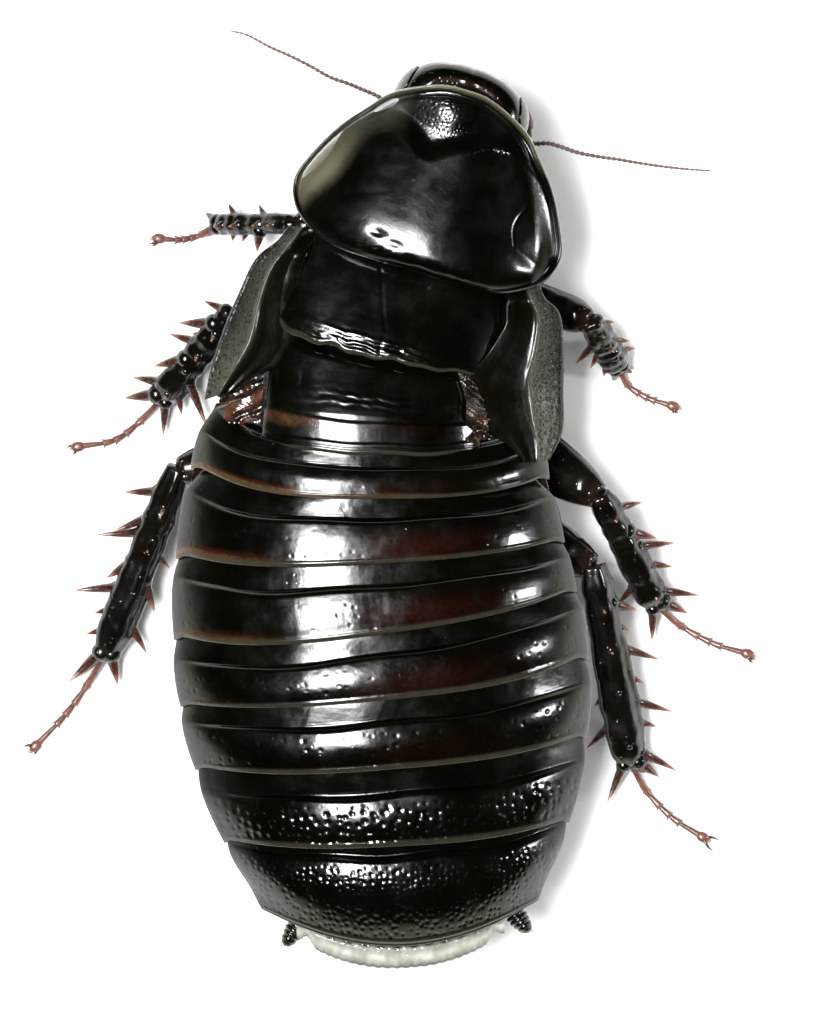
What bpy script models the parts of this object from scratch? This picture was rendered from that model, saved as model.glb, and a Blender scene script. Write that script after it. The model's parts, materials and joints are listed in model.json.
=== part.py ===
"""A large wood cockroach of the genus Panesthia, standing, as a life-size model.

The head points to -Y, the animal's left is +X, and the floor is z = 0. Sizes are in millimetres
and become metres where the meshes are made.
"""

import math

import bmesh
import bpy
import numpy as np
from mathutils import Matrix, Vector

MM = 0.001
GAP = 0.3

# Trunk, by distance along Y: mid line, half width, and heights of top, side edge and underside
MID_LINE = ((-12.0, -1.15), (-7.0, 0.5), (-1.0, 1.05), (4.0, 0.95), (10.0, 0.25), (17.0, -0.3),
            (24.0, -0.55))
HALF_WIDTH = ((-6.0, 6.8), (-3.9, 8.1), (0.0, 9.2), (4.0, 9.9), (8.0, 10.25), (11.0, 10.1), (14.0, 9.5),
              (17.0, 8.5), (20.3, 6.9), (24.0, 6.6))
TOP_HEIGHT = ((-6.0, 9.5), (0.0, 10.0), (6.0, 10.3), (12.0, 10.0), (17.0, 8.9), (20.0, 7.8), (22.5, 6.5),
              (24.0, 5.6))
EDGE_HEIGHT = ((-6.0, 6.6), (0.0, 6.4), (6.0, 6.2), (12.0, 5.9), (18.0, 5.3), (24.0, 4.8))
BELLY_HEIGHT = ((-4.0, 5.3), (-1.0, 4.7), (1.0, 3.7), (6.0, 3.1), (12.0, 3.0), (18.0, 3.2), (24.0, 4.0))
EDGE_THICKNESS = 0.5
# Powers that round the back and the belly between the side edges
DOME = (2.3, 0.8)
KEEL = (2.6, 0.7)
CRESCENT_GAP = 0.45
CRESCENT_LEAST = 0.4
CRESCENT_THINNING = 0.12

# Tergites: hind margin on the mid line, how far it runs forward at its corners, and how sharply it turns
METANOTUM_HIND = (-2.25, 1.6, 3)
TERGITES = ((-0.05, 1.5, 3), (3.2, 0.9, 3), (6.7, 1.15, 3), (9.95, 1.05, 3), (13.4, 0.95, 3),
            (17.25, 0.85, 3), (22.3, 2.0, 2))
STEP_HEIGHT = 0.3
STEP_PLACE = 0.38
CORNER_FLARE = 0.2
PLATE_POWER = 3

# Notal plates of the thorax: front and hind margin, bow, half widths and heights
MESONOTUM = {"margins": (-12.2, -7.0), "bows": (0.5, 0.5), "widths": (5.4, 5.6),
             "tops": (8.2, 9.4), "edges": (7.4, 8.0), "base": 7.3}
METANOTUM = {"margins": (-6.7, -2.25), "bows": (0.5, 0.4), "widths": (5.2, 5.3),
             "tops": (9.2, 9.5), "edges": (8.0, 8.0), "base": 7.4}
MESOTHORAX = {"margins": (-11.6, -7.1), "bows": (0.3, 0.3), "widths": (5.2, 6.2),
              "tops": (7.0, 7.0), "edges": (6.3, 6.3), "base": 4.9}
METATHORAX = {"margins": (-6.8, -2.4), "bows": (0.3, 0.7), "widths": (6.2, 6.9),
              "tops": (7.0, 7.0), "edges": (6.3, 6.3), "base": 5.0}

# Front of the body: the pronotum and the head share a frame turned to the animal's right
FRONT_ORIGIN = (-1.05, -11.35)
FRONT_TURN = -17.0
PRONOTUM_EDGE = ((0.0, -9.35), (1.2, -9.25), (2.5, -8.75), (3.6, -8.1), (4.5, -7.1), (5.6, -5.75),
                 (6.5, -4.1), (6.95, -2.8), (6.7, -1.7), (5.9, -0.8), (4.3, -0.05), (2.0, 0.1), (0.0, 0.05))
PRONOTUM_CENTRE = (0.0, -4.2)
PRONOTUM_TOP = 10.3
PRONOTUM_CEILING = 9.1
PRONOTUM_SIDE = 8.0
PRONOTUM_CROWN = 1.35
PRONOTUM_RIM = 0.75
# Relief of the shield: the hind disc, its knobs, the boss before it, and the rim with its gutter
DISC_RISE = 0.5
DISC_FRONT = -6.7
DISC_SLOPE = 1.0
KNOB_RISE = 0.35
KNOB_PLACE = (1.9, -6.2)
KNOB_SPREAD = (1.1, 0.45)
BOSS_RISE = 0.35
BOSS_PLACE = (0.4, -7.9)
BOSS_SPREAD = (1.1, 0.9)
RIM_RISE = 0.22
GUTTER_DEPTH = 0.2
PROTHORAX = {"front": -5.4, "hind": -0.7, "width": 4.3, "top": 7.9, "hind_top": 6.9, "edge": 6.5,
             "base": 5.0}
PROTHORAX_SIDES = 16
# Head rings from the crown down: height, half width, half depth, middle along Y
HEAD_RINGS = ((8.15, 1.2, 0.7, -8.2), (7.9, 2.4, 1.6, -8.2), (7.2, 3.15, 2.2, -8.2),
              (6.2, 3.35, 2.45, -8.2), (5.0, 3.1, 2.35, -8.15), (4.0, 2.6, 2.0, -8.0),
              (3.2, 2.2, 1.6, -7.8), (2.4, 1.8, 1.2, -7.5), (1.7, 1.2, 0.8, -7.2))
HEAD_SIDES = 20
LIP = {"place": (0.0, -8.75, 2.3), "half": (1.0, 0.45, 0.8)}
JAW = {"place": (1.25, -8.2, 2.1), "half": (0.75, 0.85, 0.8)}
EYE = {"place": (3.05, -8.3, 6.7), "half": (0.42, 0.95, 1.2), "tilt": 12.0}
PALP_PATH = ((1.75, -9.6, 3.3), (2.6, -10.0, 2.6), (2.9, -10.1, 1.6), (2.8, -9.8, 0.9))
PALP_RADII = (0.32, 0.3, 0.3, 0.25)
ANTENNA_LEFT = ((0.2, -20.0, 4.8), (1.05, -20.3, 5.1), (2.05, -20.7, 5.6), (3.05, -21.05, 5.9),
                (4.05, -21.6, 6.1), (5.05, -22.1, 6.1), (6.05, -22.55, 5.9), (7.3, -23.2, 5.5),
                (8.05, -23.4, 5.2))
ANTENNA_RIGHT = ((-6.98, -17.9, 4.8), (-7.9, -17.75, 5.3), (-9.45, -17.25, 5.9),
                 (-11.5, -16.9, 6.0), (-13.5, -16.6, 5.6), (-15.0, -16.45, 5.2), (-16.05, -16.4, 4.8))
ANTENNA_RADII = (0.36, 0.25)
ANTENNA_SIDES = 6
SCAPE_LENGTH = 1.2
BEAD_LENGTH = 0.42

# Fore wings cut short: inner and outer edge from root to tip, as x and y
TEGMEN_LEFT = (((4.9, -12.6), (5.6, -12.9)), ((5.35, -11.4), (6.6, -12.1)), ((5.55, -9.5), (7.6, -10.2)),
               ((5.3, -7.5), (8.5, -8.0)), ((6.4, -6.2), (9.0, -6.4)), ((7.7, -5.35), (9.3, -4.9)))
TEGMEN_RIGHT = (((-6.3, -10.15), (-7.7, -9.95)), ((-6.2, -9.6), (-8.3, -9.4)), ((-5.7, -8.2), (-8.6, -7.7)),
                ((-4.4, -6.0), (-8.6, -5.4)), ((-4.9, -3.8), (-8.5, -3.1)), ((-6.5, -1.75), (-7.9, -1.9)))
TEGMEN_THICKNESS = 0.6
TEGMEN_LIFT = 9.45
TEGMEN_FALL = 0.026
KEEL_RISE = 0.3
KEEL_PLACE = 0.58
KEEL_SPREAD = 0.2
WING_LEFT = (((6.45, -6.2), (7.9, -5.6)), ((6.45, -4.9), (8.7, -4.4)), ((6.5, -3.8), (8.0, -3.5)))
WING_RIGHT = (((-3.4, -6.3), (-4.15, -5.8)), ((-4.1, -4.8), (-4.6, -4.9)), ((-4.4, -3.2), (-5.0, -3.3)))

# Tail end: the plate over the vent, the plate under it and the two cerci
TAIL_PLATE = {"half": 5.05, "reach": 23.55, "drop": 1.6, "heights": (4.9, 6.0)}
VENT_PLATE = {"half": 4.0, "reach": 22.95, "drop": 0.5, "heights": (3.6, 4.5)}
CERCUS_PATHS = {"left": ((4.9, 21.75, 5.0), (5.35, 22.45, 5.0)),
                "right": ((-6.45, 21.15, 5.0), (-6.95, 21.75, 5.0))}
CERCUS_RADII = (0.5, 0.28)
CERCUS_TIP = 0.1

# Legs: places of the joints as x, y and height, and the half widths and depths of each piece
COXA_RADII = ((0.9, 0.65), (1.1, 0.7), (0.55, 0.5))
LEGS = {
    "front_left": {
        "coxa": ((0.9, -15.8, 4.3), (-0.9, -13.1, 2.6)),
        "knee": (4.9, -13.8, 3.8),
        "ankle": (8.8, -13.8, 1.0),
        "toes": ((9.85, -13.2), (10.6, -13.05), (11.7, -13.1)),
        "claws": ((12.25, -12.9), (12.1, -12.75)),
        "femur": ((0.6, 0.6), (0.85, 0.75), (0.65, 0.6)),
        "tibia": ((0.5, 0.45), (0.48, 0.45)),
    },
    "front_right": {
        "coxa": ((-5.6, -14.0, 4.3), (-3.8, -11.8, 2.6)),
        "knee": (-10.05, -8.85, 3.7),
        "ankle": (-11.45, -6.65, 1.0),
        "toes": ((-12.05, -5.6), (-12.85, -5.1), (-14.2, -4.65)),
        "claws": ((-14.55, -4.3), (-14.3, -4.35)),
        "femur": ((0.6, 0.6), (0.85, 0.75), (0.75, 0.7)),
        "tibia": ((0.65, 0.55), (0.7, 0.6)),
    },
    "middle_left": {
        "coxa": ((3.4, -9.7, 4.3), (1.1, -6.9, 2.5)),
        "knee": (8.05, -9.25, 4.2),
        "ankle": (11.55, -5.05, 1.0),
        "toes": ((12.65, -3.9), (13.8, -3.0), (15.8, -2.6)),
        "claws": ((16.45, -2.5), (16.15, -2.25)),
        "femur": ((0.6, 0.6), (1.1, 0.8), (0.75, 0.7)),
        "tibia": ((0.65, 0.55), (0.75, 0.6)),
    },
    "middle_right": {
        "coxa": ((-4.0, -8.9, 4.3), (-1.8, -6.2, 2.5)),
        "knee": (-10.5, -0.05, 4.4),
        "ankle": (-13.35, 5.35, 1.0),
        "toes": ((-14.7, 6.5), (-16.3, 7.35), (-17.95, 7.85)),
        "claws": ((-18.45, 8.1), (-18.3, 8.3)),
        "femur": ((0.6, 0.6), (1.5, 0.85), (0.9, 0.75)),
        "tibia": ((0.7, 0.6), (0.8, 0.65)),
    },
    "hind_left": {
        "coxa": ((4.1, -5.2, 4.3), (1.7, -3.0, 2.5)),
        "knee": (10.75, -1.4, 4.4),
        "ankle": (14.4, 7.85, 1.05),
        "toes": ((15.4, 9.5), (16.3, 10.75), (17.95, 12.5)),
        "claws": ((18.55, 12.6), (18.1, 12.95)),
        "femur": ((0.6, 0.6), (1.3, 0.8), (0.85, 0.75)),
        "tibia": ((0.75, 0.65), (0.85, 0.7)),
    },
    "hind_right": {
        "coxa": ((-2.7, -4.3, 4.3), (-0.5, -2.4, 2.5)),
        "knee": (-10.15, 3.5, 4.3),
        "ankle": (-12.05, 13.35, 1.05),
        "toes": ((-13.05, 15.0), (-14.15, 16.1), (-15.7, 17.1)),
        "claws": ((-16.6, 17.35), (-16.35, 17.85)),
        "femur": ((0.6, 0.6), (1.3, 0.8), (0.9, 0.75)),
        "tibia": ((0.8, 0.65), (0.95, 0.7)),
    },
}
HIP_DROP = 1.25
HIP_SHIFT = 0.45
FOOT_RADIUS = 0.3
FOOT_CENTRE = 0.17
# Ends of the foot's five joints along its length, and the swelling within one joint
FOOT_JOINTS = (0.0, 0.38, 0.52, 0.64, 0.75, 1.0)
FOOT_SWELL = ((0.04, 0.86), (0.8, 1.1))
CLAW_RADII = (0.17, 0.05)
CLAW_TIP_HEIGHT = 0.12

RING_SIDES = 10
FOOT_SIDES = 8

# Spines of each shin: place along it, where the tip is, and whether the spine is a strong one
SHIN_SPINES = {
    "front_left": (
        (0.35, (6.65, -14.75), 0), (0.45, (6.75, -12.4), 1), (0.58, (7.5, -12.9), 0),
        (0.72, (8.2, -14.85), 0), (0.76, (8.0, -12.95), 0), (0.9, (9.1, -14.05), 0),
    ),
    "front_right": (
        (0.08, (-11.2, -8.85), 0), (0.4, (-12.0, -7.9), 0), (0.66, (-12.3, -7.55), 0),
        (0.88, (-12.15, -6.3), 1), (0.39, (-9.3, -6.75), 0), (0.5, (-10.05, -6.55), 0),
        (0.72, (-10.7, -6.15), 1),
    ),
    "middle_left": (
        (0.02, (9.4, -9.9), 0), (0.14, (10.65, -8.8), 1), (0.26, (10.0, -8.25), 0),
        (0.38, (11.15, -8.25), 0), (0.53, (11.9, -6.65), 1), (0.84, (13.05, -6.1), 0),
        (0.94, (13.45, -5.05), 1), (0.68, (9.25, -3.5), 0), (0.8, (10.55, -4.2), 0),
        (0.94, (11.5, -3.2), 0),
    ),
    "middle_right": (
        (0.15, (-12.6, 0.2), 0), (0.31, (-13.3, 2.0), 1), (0.47, (-14.25, 2.25), 0),
        (0.62, (-14.15, 3.45), 0), (0.85, (-15.5, 4.9), 0), (0.93, (-14.95, 5.8), 1),
        (0.77, (-11.4, 5.35), 0), (0.95, (-13.15, 7.2), 0),
    ),
    "hind_left": (
        (0.13, (13.45, -0.3), 0), (0.25, (14.0, 1.7), 0), (0.35, (14.8, 1.85), 0),
        (0.48, (14.3, 4.0), 1), (0.64, (16.05, 4.65), 0), (0.74, (14.95, 5.8), 0),
        (0.86, (15.35, 6.85), 0), (0.95, (16.25, 9.25), 1), (0.43, (11.15, 3.5), 0),
        (0.54, (11.9, 5.7), 1), (0.76, (12.3, 7.85), 0), (0.94, (13.8, 9.4), 1),
    ),
    "hind_right": (
        (0.18, (-12.3, 5.6), 1), (0.27, (-11.95, 6.65), 0), (0.4, (-13.45, 8.1), 0),
        (0.52, (-12.7, 9.3), 0), (0.66, (-14.15, 10.75), 0), (0.76, (-13.35, 11.5), 0),
        (0.9, (-14.4, 13.75), 0), (0.95, (-13.5, 14.05), 1), (0.6, (-10.25, 10.45), 0),
        (0.76, (-9.85, 12.6), 0), (0.95, (-10.9, 15.35), 0),
    ),
}
SPINE_RADII = (0.25, 0.32)
SPINE_TIP = 0.06
SPINE_SIDES = 5
SPINE_FALL = 0.35
SPINE_LOWEST = 0.25
SPINE_START = 0.12

COLOURS = {
    "black_cuticle": ((0.010, 0.009, 0.008), 0.22),
    "brown_cuticle": ((0.085, 0.026, 0.014), 0.30),
    "antenna_brown": ((0.13, 0.065, 0.035), 0.45),
    "amber_wing": ((0.32, 0.13, 0.04), 0.35),
    "eye_black": ((0.015, 0.013, 0.012), 0.30),
}


def clear_scene():
    for old in list(bpy.data.objects):
        bpy.data.objects.remove(old, do_unlink=True)


def make_collection(name):
    collection = bpy.data.collections.new(name)
    bpy.context.scene.collection.children.link(collection)
    return collection


def make_materials():
    """One Principled material for each kind of surface."""
    materials = {}
    for name, (colour, roughness) in COLOURS.items():
        material = bpy.data.materials.new(name)
        material.use_nodes = True
        shader = material.node_tree.nodes["Principled BSDF"]
        shader.inputs["Base Color"].default_value = (*colour, 1.0)
        shader.inputs["Roughness"].default_value = roughness
        shader.inputs["Metallic"].default_value = 0.0
        materials[name] = material
    return materials


def smooth(stations, at):
    """The value at a place along a smooth curve through (place, value) stations."""
    places = np.array([station[0] for station in stations])
    values = np.array([station[1] for station in stations])
    slopes = np.gradient(values, places)
    index = int(np.clip(np.searchsorted(places, at) - 1, 0, len(places) - 2))
    span = places[index + 1] - places[index]
    t = float(np.clip((at - places[index]) / span, 0.0, 1.0))
    start = (1 + 2 * t) * (1 - t) ** 2 * values[index] + t * (1 - t) ** 2 * span * slopes[index]
    end = t * t * (3 - 2 * t) * values[index + 1] + t * t * (t - 1) * span * slopes[index + 1]
    return float(start + end)


def blend(low, high, t):
    return low + (high - low) * t


def ease(t):
    t = min(max(t, 0.0), 1.0)
    return t * t * (3 - 2 * t)


def body_point(y, u, z):
    """A point u to the left of the mid line, square to it at y."""
    slope = (smooth(MID_LINE, y + 0.1) - smooth(MID_LINE, y - 0.1)) / 0.2
    length = math.hypot(1.0, slope)
    return Vector((smooth(MID_LINE, y) + u / length, y - u * slope / length, z))


def mesh_object(name, mesh_data, material, parent=None):
    """An object from a bmesh in millimetres, in metres, in the model's collection."""
    bmesh.ops.recalc_face_normals(mesh_data, faces=mesh_data.faces)
    bmesh.ops.scale(mesh_data, vec=(MM, MM, MM), verts=mesh_data.verts)
    mesh = bpy.data.meshes.new(name)
    mesh_data.to_mesh(mesh)
    mesh_data.free()
    mesh.materials.append(material)
    mesh.shade_smooth()
    obj = bpy.data.objects.new(name, mesh)
    MODEL.objects.link(obj)
    obj.parent = parent
    return obj


def loft(rings, flat_ends=False):
    """A closed skin over rings of as many points each; a flat end joins each point to its opposite one."""
    skin = bmesh.new()
    rows = [[skin.verts.new(point) for point in ring] for ring in rings]
    count = len(rows[0])
    for near, far in zip(rows, rows[1:]):
        for i in range(count):
            j = (i + 1) % count
            skin.faces.new((near[i], near[j], far[j], far[i]))
    for row in (rows[0], rows[-1]):
        if flat_ends:
            for i in range(count // 2 - 1):
                skin.faces.new((row[i], row[i + 1], row[count - 2 - i], row[count - 1 - i]))
        else:
            middle = skin.verts.new(sum((vert.co for vert in row), Vector()) / count)
            for i in range(count):
                skin.faces.new((row[i], row[(i + 1) % count], middle))
    bmesh.ops.triangulate(skin, faces=skin.faces)
    return skin


def trunk_ring(line, width, top, edge, base, count=8):
    """One section of the trunk: a domed top and a flatter underside that meet in thin side edges."""
    upper = []
    lower = []
    for i in range(2 * count + 1):
        n = -math.cos(math.pi * i / (2 * count))
        y = line(n)
        half = width(y)
        rise = (1 - abs(n) ** DOME[0]) ** DOME[1]
        fall = (1 - abs(n) ** KEEL[0]) ** KEEL[1]
        side = edge(y)
        above = side + EDGE_THICKNESS / 2
        below = side - EDGE_THICKNESS / 2
        upper.append(body_point(y, n * half, blend(above, top(y), rise)))
        lower.append(body_point(y, n * half, blend(below, base(y), fall)))
    return upper + lower[::-1]


def margin(place, bow, power=PLATE_POWER):
    """A margin across the trunk that runs forward towards its corners."""
    def line(n):
        return place - bow * abs(n) ** power
    return line


def between(front, hind, t):
    def line(n):
        return blend(front(n), hind(n), t)
    return line


def build_tergites(materials):
    """Seven full rings of the abdomen, each with a step across its back and flared hind corners."""
    before = METANOTUM_HIND
    for number, here in enumerate(TERGITES, start=1):
        front = margin(before[0] + GAP, before[1], before[2])
        hind = margin(*here)
        rings = []
        for t in (0.0, STEP_PLACE - 0.08, STEP_PLACE + 0.08, 0.75, 1.0):
            step = STEP_HEIGHT * (ease((t - STEP_PLACE + 0.1) / 0.2) - 1)
            flare = CORNER_FLARE * (t * t - 0.4)

            def width(y, flare=flare):
                return smooth(HALF_WIDTH, y) + flare

            def top(y, step=step):
                return smooth(TOP_HEIGHT, y) + step

            def edge(y):
                return smooth(EDGE_HEIGHT, y)

            def base(y):
                return smooth(BELLY_HEIGHT, y)

            rings.append(trunk_ring(between(front, hind, t), width, top, edge, base))
        mesh_object(f"abdomen_{number}", loft(rings, flat_ends=True), materials["black_cuticle"])
        before = here


def build_thorax_block(name, sizes, material, places=(0.0, 0.25, 0.5, 0.75, 1.0)):
    """A plate or a body of the middle or hind thorax."""
    front, hind = (margin(place, bow) for place, bow in zip(sizes["margins"], sizes["bows"]))
    rings = []
    for t in places:
        half = blend(*sizes["widths"], t)
        crown = blend(*sizes["tops"], ease(2.5 * t))
        side = blend(*sizes["edges"], ease(2.5 * t))

        def width(y, half=half):
            return half

        def top(y, crown=crown):
            return crown

        def edge(y, side=side):
            return side

        def base(y):
            return sizes["base"]

        rings.append(trunk_ring(between(front, hind, t), width, top, edge, base, count=6))
    return mesh_object(name, loft(rings, flat_ends=True), material)


def build_front_frame():
    frame = bpy.data.objects.new("front_frame", None)
    MODEL.objects.link(frame)
    frame.location = (FRONT_ORIGIN[0] * MM, FRONT_ORIGIN[1] * MM, 0.0)
    frame.rotation_euler = (0.0, 0.0, math.radians(FRONT_TURN))
    return frame


def mirrored_outline(half_points, samples):
    """A closed outline through one half's points and their mirror images."""
    half = [Vector((x, y)) for x, y in half_points]
    other = [Vector((-p.x, p.y)) for p in half[-2:0:-1]]
    loop = half + other
    count = len(loop)
    points = []
    for i in range(samples):
        place = count * i / samples
        k = int(place)
        t = place - k
        a, b, c, d = (loop[(k + step) % count] for step in (-1, 0, 1, 2))
        bend = (2 * a - 5 * b + 4 * c - d) * t**2 + (3 * b - a - 3 * c + d) * t**3
        points.append(0.5 * (2 * b + (c - a) * t + bend))
    return points


def pronotum_edge_height(x):
    return PRONOTUM_SIDE + PRONOTUM_CROWN * (1 - (x / 7.0) ** 2)


def mound(x, y, place, spread):
    return math.exp(-(((x - place[0]) / spread[0]) ** 2) - ((y - place[1]) / spread[1]) ** 2)


def pronotum_relief(x, y, r):
    """The raised hind disc with its two knobs, the hollow before it, the front boss and the thick rim."""
    disc = DISC_RISE * ease((y - DISC_FRONT) / DISC_SLOPE)
    knobs = KNOB_RISE * mound(abs(x), y, KNOB_PLACE, KNOB_SPREAD)
    boss = BOSS_RISE * mound(x, y, BOSS_PLACE, BOSS_SPREAD)
    rim = RIM_RISE * ease((r - 0.86) / 0.08) - GUTTER_DEPTH * mound(r, 0.0, (0.83, 0.0), (0.08, 1.0))
    return (disc + knobs + boss) * (1 - ease((r - 0.8) / 0.15)) + rim


def pronotum_point(edge, r, upper):
    """A point on the shield at r from its centre to its edge."""
    centre = Vector(PRONOTUM_CENTRE)
    flat = centre.lerp(edge, r)
    rim = pronotum_edge_height(edge.x)
    if upper:
        height = blend(rim + PRONOTUM_RIM / 2, PRONOTUM_TOP, 1 - r**2.4)
        height += pronotum_relief(flat.x, flat.y, r) - RIM_RISE * (r == 1.0)
    else:
        height = blend(rim - PRONOTUM_RIM / 2, PRONOTUM_CEILING, 1 - r**2)
    return Vector((flat.x, flat.y, height))


def build_pronotum(materials, frame):
    """A thick domed shield with a rounded rim."""
    outline = mirrored_outline(PRONOTUM_EDGE, 40)
    radii = (0.2, 0.4, 0.5, 0.6, 0.7, 0.78, 0.85, 0.92, 0.97, 1.0)
    upper = [[pronotum_point(edge, r, True) for edge in outline] for r in radii]
    lower = [[pronotum_point(edge, r, False) for edge in outline] for r in (1.0, 0.75, 0.4)]
    return mesh_object("pronotum", loft(upper + lower), materials["black_cuticle"], frame)


def build_prothorax(materials, frame):
    rings = []
    for t in (0.0, 0.5, 1.0):
        y = blend(PROTHORAX["front"], PROTHORAX["hind"], t)
        half = PROTHORAX["width"] * (0.85 + 0.15 * t)
        ring = []
        for i in range(PROTHORAX_SIDES):
            angle = 2 * math.pi * i / PROTHORAX_SIDES
            crown = blend(PROTHORAX["top"], PROTHORAX["hind_top"], t)
            reach = crown if math.sin(angle) > 0 else PROTHORAX["base"]
            height = PROTHORAX["edge"] + abs(reach - PROTHORAX["edge"]) * math.sin(angle)
            ring.append(Vector((half * math.cos(angle), y, height)))
        rings.append(ring)
    mesh_object("prothorax", loft(rings), materials["black_cuticle"], frame)


def build_head(materials, frame):
    rings = []
    for height, half_width, half_depth, middle in HEAD_RINGS:
        ring = []
        for i in range(HEAD_SIDES):
            angle = 2 * math.pi * i / HEAD_SIDES
            y = middle + half_depth * math.sin(angle)
            ring.append(Vector((half_width * math.cos(angle), y, height)))
        rings.append(ring)
    head = mesh_object("head", loft(rings), materials["black_cuticle"], frame)
    pieces = [ball("lip", Vector(LIP["place"]), LIP["half"], materials["brown_cuticle"])]
    for side in (1, -1):
        x, y, z = JAW["place"]
        place = Vector((side * x, y, z))
        pieces.append(ball(f"jaw_{side}", place, JAW["half"], materials["brown_cuticle"]))
    for piece in pieces:
        piece.parent = frame
    fuse(head, pieces)


def build_eyes(materials, frame):
    """Two kidney-like eyes on the sides of the head."""
    for side, name in ((1, "eye_left"), (-1, "eye_right")):
        ball = bmesh.new()
        bmesh.ops.create_uvsphere(ball, u_segments=12, v_segments=8, radius=1.0)
        bmesh.ops.scale(ball, vec=EYE["half"], verts=ball.verts)
        x, y, z = EYE["place"]
        place = Matrix.Translation((side * (x + GAP + EYE["half"][0]), y, z))
        tilt = Matrix.Rotation(math.radians(side * EYE["tilt"]), 4, "Y")
        bmesh.ops.transform(ball, matrix=place @ tilt, verts=ball.verts)
        mesh_object(name, ball, materials["eye_black"], frame)


def keep_largest(obj):
    """Leaves only the closed surface with the most volume."""
    skin = bmesh.new()
    skin.from_mesh(obj.data)
    left = set(skin.faces)
    groups = []
    while left:
        group = [left.pop()]
        for face in group:
            for edge in face.edges:
                for other in edge.link_faces:
                    if other in left:
                        left.remove(other)
                        group.append(other)
        groups.append(group)
    if len(groups) > 1:
        size = [abs(sum(f.calc_center_median().dot(f.normal) * f.calc_area() for f in group))
                for group in groups]
        biggest = size.index(max(size))
        spare = [face for i, group in enumerate(groups) if i != biggest for face in group]
        bmesh.ops.delete(skin, geom=spare, context="FACES")
    skin.to_mesh(obj.data)
    skin.free()


def fuse(obj, pieces):
    """Joins closed pieces to an object by one union and removes them."""
    group = make_collection(f"{obj.name}_pieces")
    for piece in pieces:
        MODEL.objects.unlink(piece)
        group.objects.link(piece)
    union = obj.modifiers.new("fused", "BOOLEAN")
    union.operation = "UNION"
    union.operand_type = "COLLECTION"
    union.collection = group
    union.solver = "EXACT"
    joined = bpy.data.meshes.new_from_object(obj.evaluated_get(bpy.context.evaluated_depsgraph_get()))
    obj.modifiers.clear()
    obj.data = joined
    for piece in pieces:
        bpy.data.objects.remove(piece, do_unlink=True)
    bpy.data.collections.remove(group)
    keep_largest(obj)


def spike(name, root, tip, radii, material, sides=SPINE_SIDES):
    """A tapered closed spine from its root to its tip."""
    spine = bmesh.new()
    thick, thin = radii
    bmesh.ops.create_cone(spine, cap_ends=True, segments=sides, radius1=thick, radius2=thin, depth=1.0)
    ahead = tip - root
    turn = ahead.to_track_quat("Z", "Y").to_matrix().to_4x4()
    bmesh.ops.scale(spine, vec=(1.0, 1.0, ahead.length), verts=spine.verts)
    bmesh.ops.transform(spine, matrix=Matrix.Translation((root + tip) / 2) @ turn, verts=spine.verts)
    return mesh_object(name, spine, material)


def ball(name, place, half, material):
    """A small closed ellipsoid."""
    lump = bmesh.new()
    bmesh.ops.create_uvsphere(lump, u_segments=8, v_segments=6, radius=1.0)
    bmesh.ops.scale(lump, vec=half, verts=lump.verts)
    bmesh.ops.translate(lump, vec=place, verts=lump.verts)
    return mesh_object(name, lump, material)


def along_path(path, t):
    """The point at a share t of a bent path's length."""
    lengths = [(far - near).length for near, far in zip(path, path[1:])]
    left = t * sum(lengths)
    for near, far, length in zip(path, path[1:], lengths):
        if left <= length:
            return near.lerp(far, left / length)
        left -= length
    return path[-1].copy()


def tube_rings(path, radii, sides, floor=None):
    """Rings across a bent path; each has a half width level with the floor and a half depth."""
    rings = []
    for i, point in enumerate(path):
        ahead = (path[min(i + 1, len(path) - 1)] - path[max(i - 1, 0)]).normalized()
        level = Vector((-ahead.y, ahead.x, 0.0)).normalized()
        up = ahead.cross(level)
        half_width, half_depth = radii[i]
        ring = []
        for k in range(sides):
            angle = 2 * math.pi * k / sides
            at = point + level * half_width * math.cos(angle) + up * half_depth * math.sin(angle)
            if floor is not None:
                at.z = max(at.z, floor)
            ring.append(at)
        rings.append(ring)
    return rings


def stations(path_ends, radii, places):
    """Points and half sizes at the given places along a straight piece whose sizes change smoothly."""
    start, end = path_ends
    keys = [i / (len(radii) - 1) for i in range(len(radii))]
    points = [start.lerp(end, t) for t in places]
    sizes = [tuple(float(np.interp(t, keys, [r[axis] for r in radii])) for axis in (0, 1)) for t in places]
    return points, sizes


def build_antenna(name, points, material):
    """A long base joint and then short beads that grow thinner."""
    path = [Vector(point) for point in points]
    length = sum((far - near).length for near, far in zip(path, path[1:]))
    beads = round((length - SCAPE_LENGTH) / BEAD_LENGTH)
    places = [(0.0, 0.9), (0.7 * SCAPE_LENGTH / length, 1.15)]
    for bead in range(beads):
        near = (SCAPE_LENGTH + bead * BEAD_LENGTH) / length
        places += [(near, 0.82), (near + 0.6 * BEAD_LENGTH / length, 1.0)]
    centres = [along_path(path, place) for place, swell in places]
    radii = [(blend(*ANTENNA_RADII, place) * swell,) * 2 for place, swell in places]
    mesh_object(name, loft(tube_rings(centres, radii, ANTENNA_SIDES)), material)


def build_palps(materials, frame):
    for side, name in ((1, "palp_left"), (-1, "palp_right")):
        path = [Vector((side * x, y, z)) for x, y, z in PALP_PATH]
        radii = [(radius, radius) for radius in PALP_RADII]
        mesh_object(name, loft(tube_rings(path, radii, FOOT_SIDES)), materials["brown_cuticle"], frame)


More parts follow.
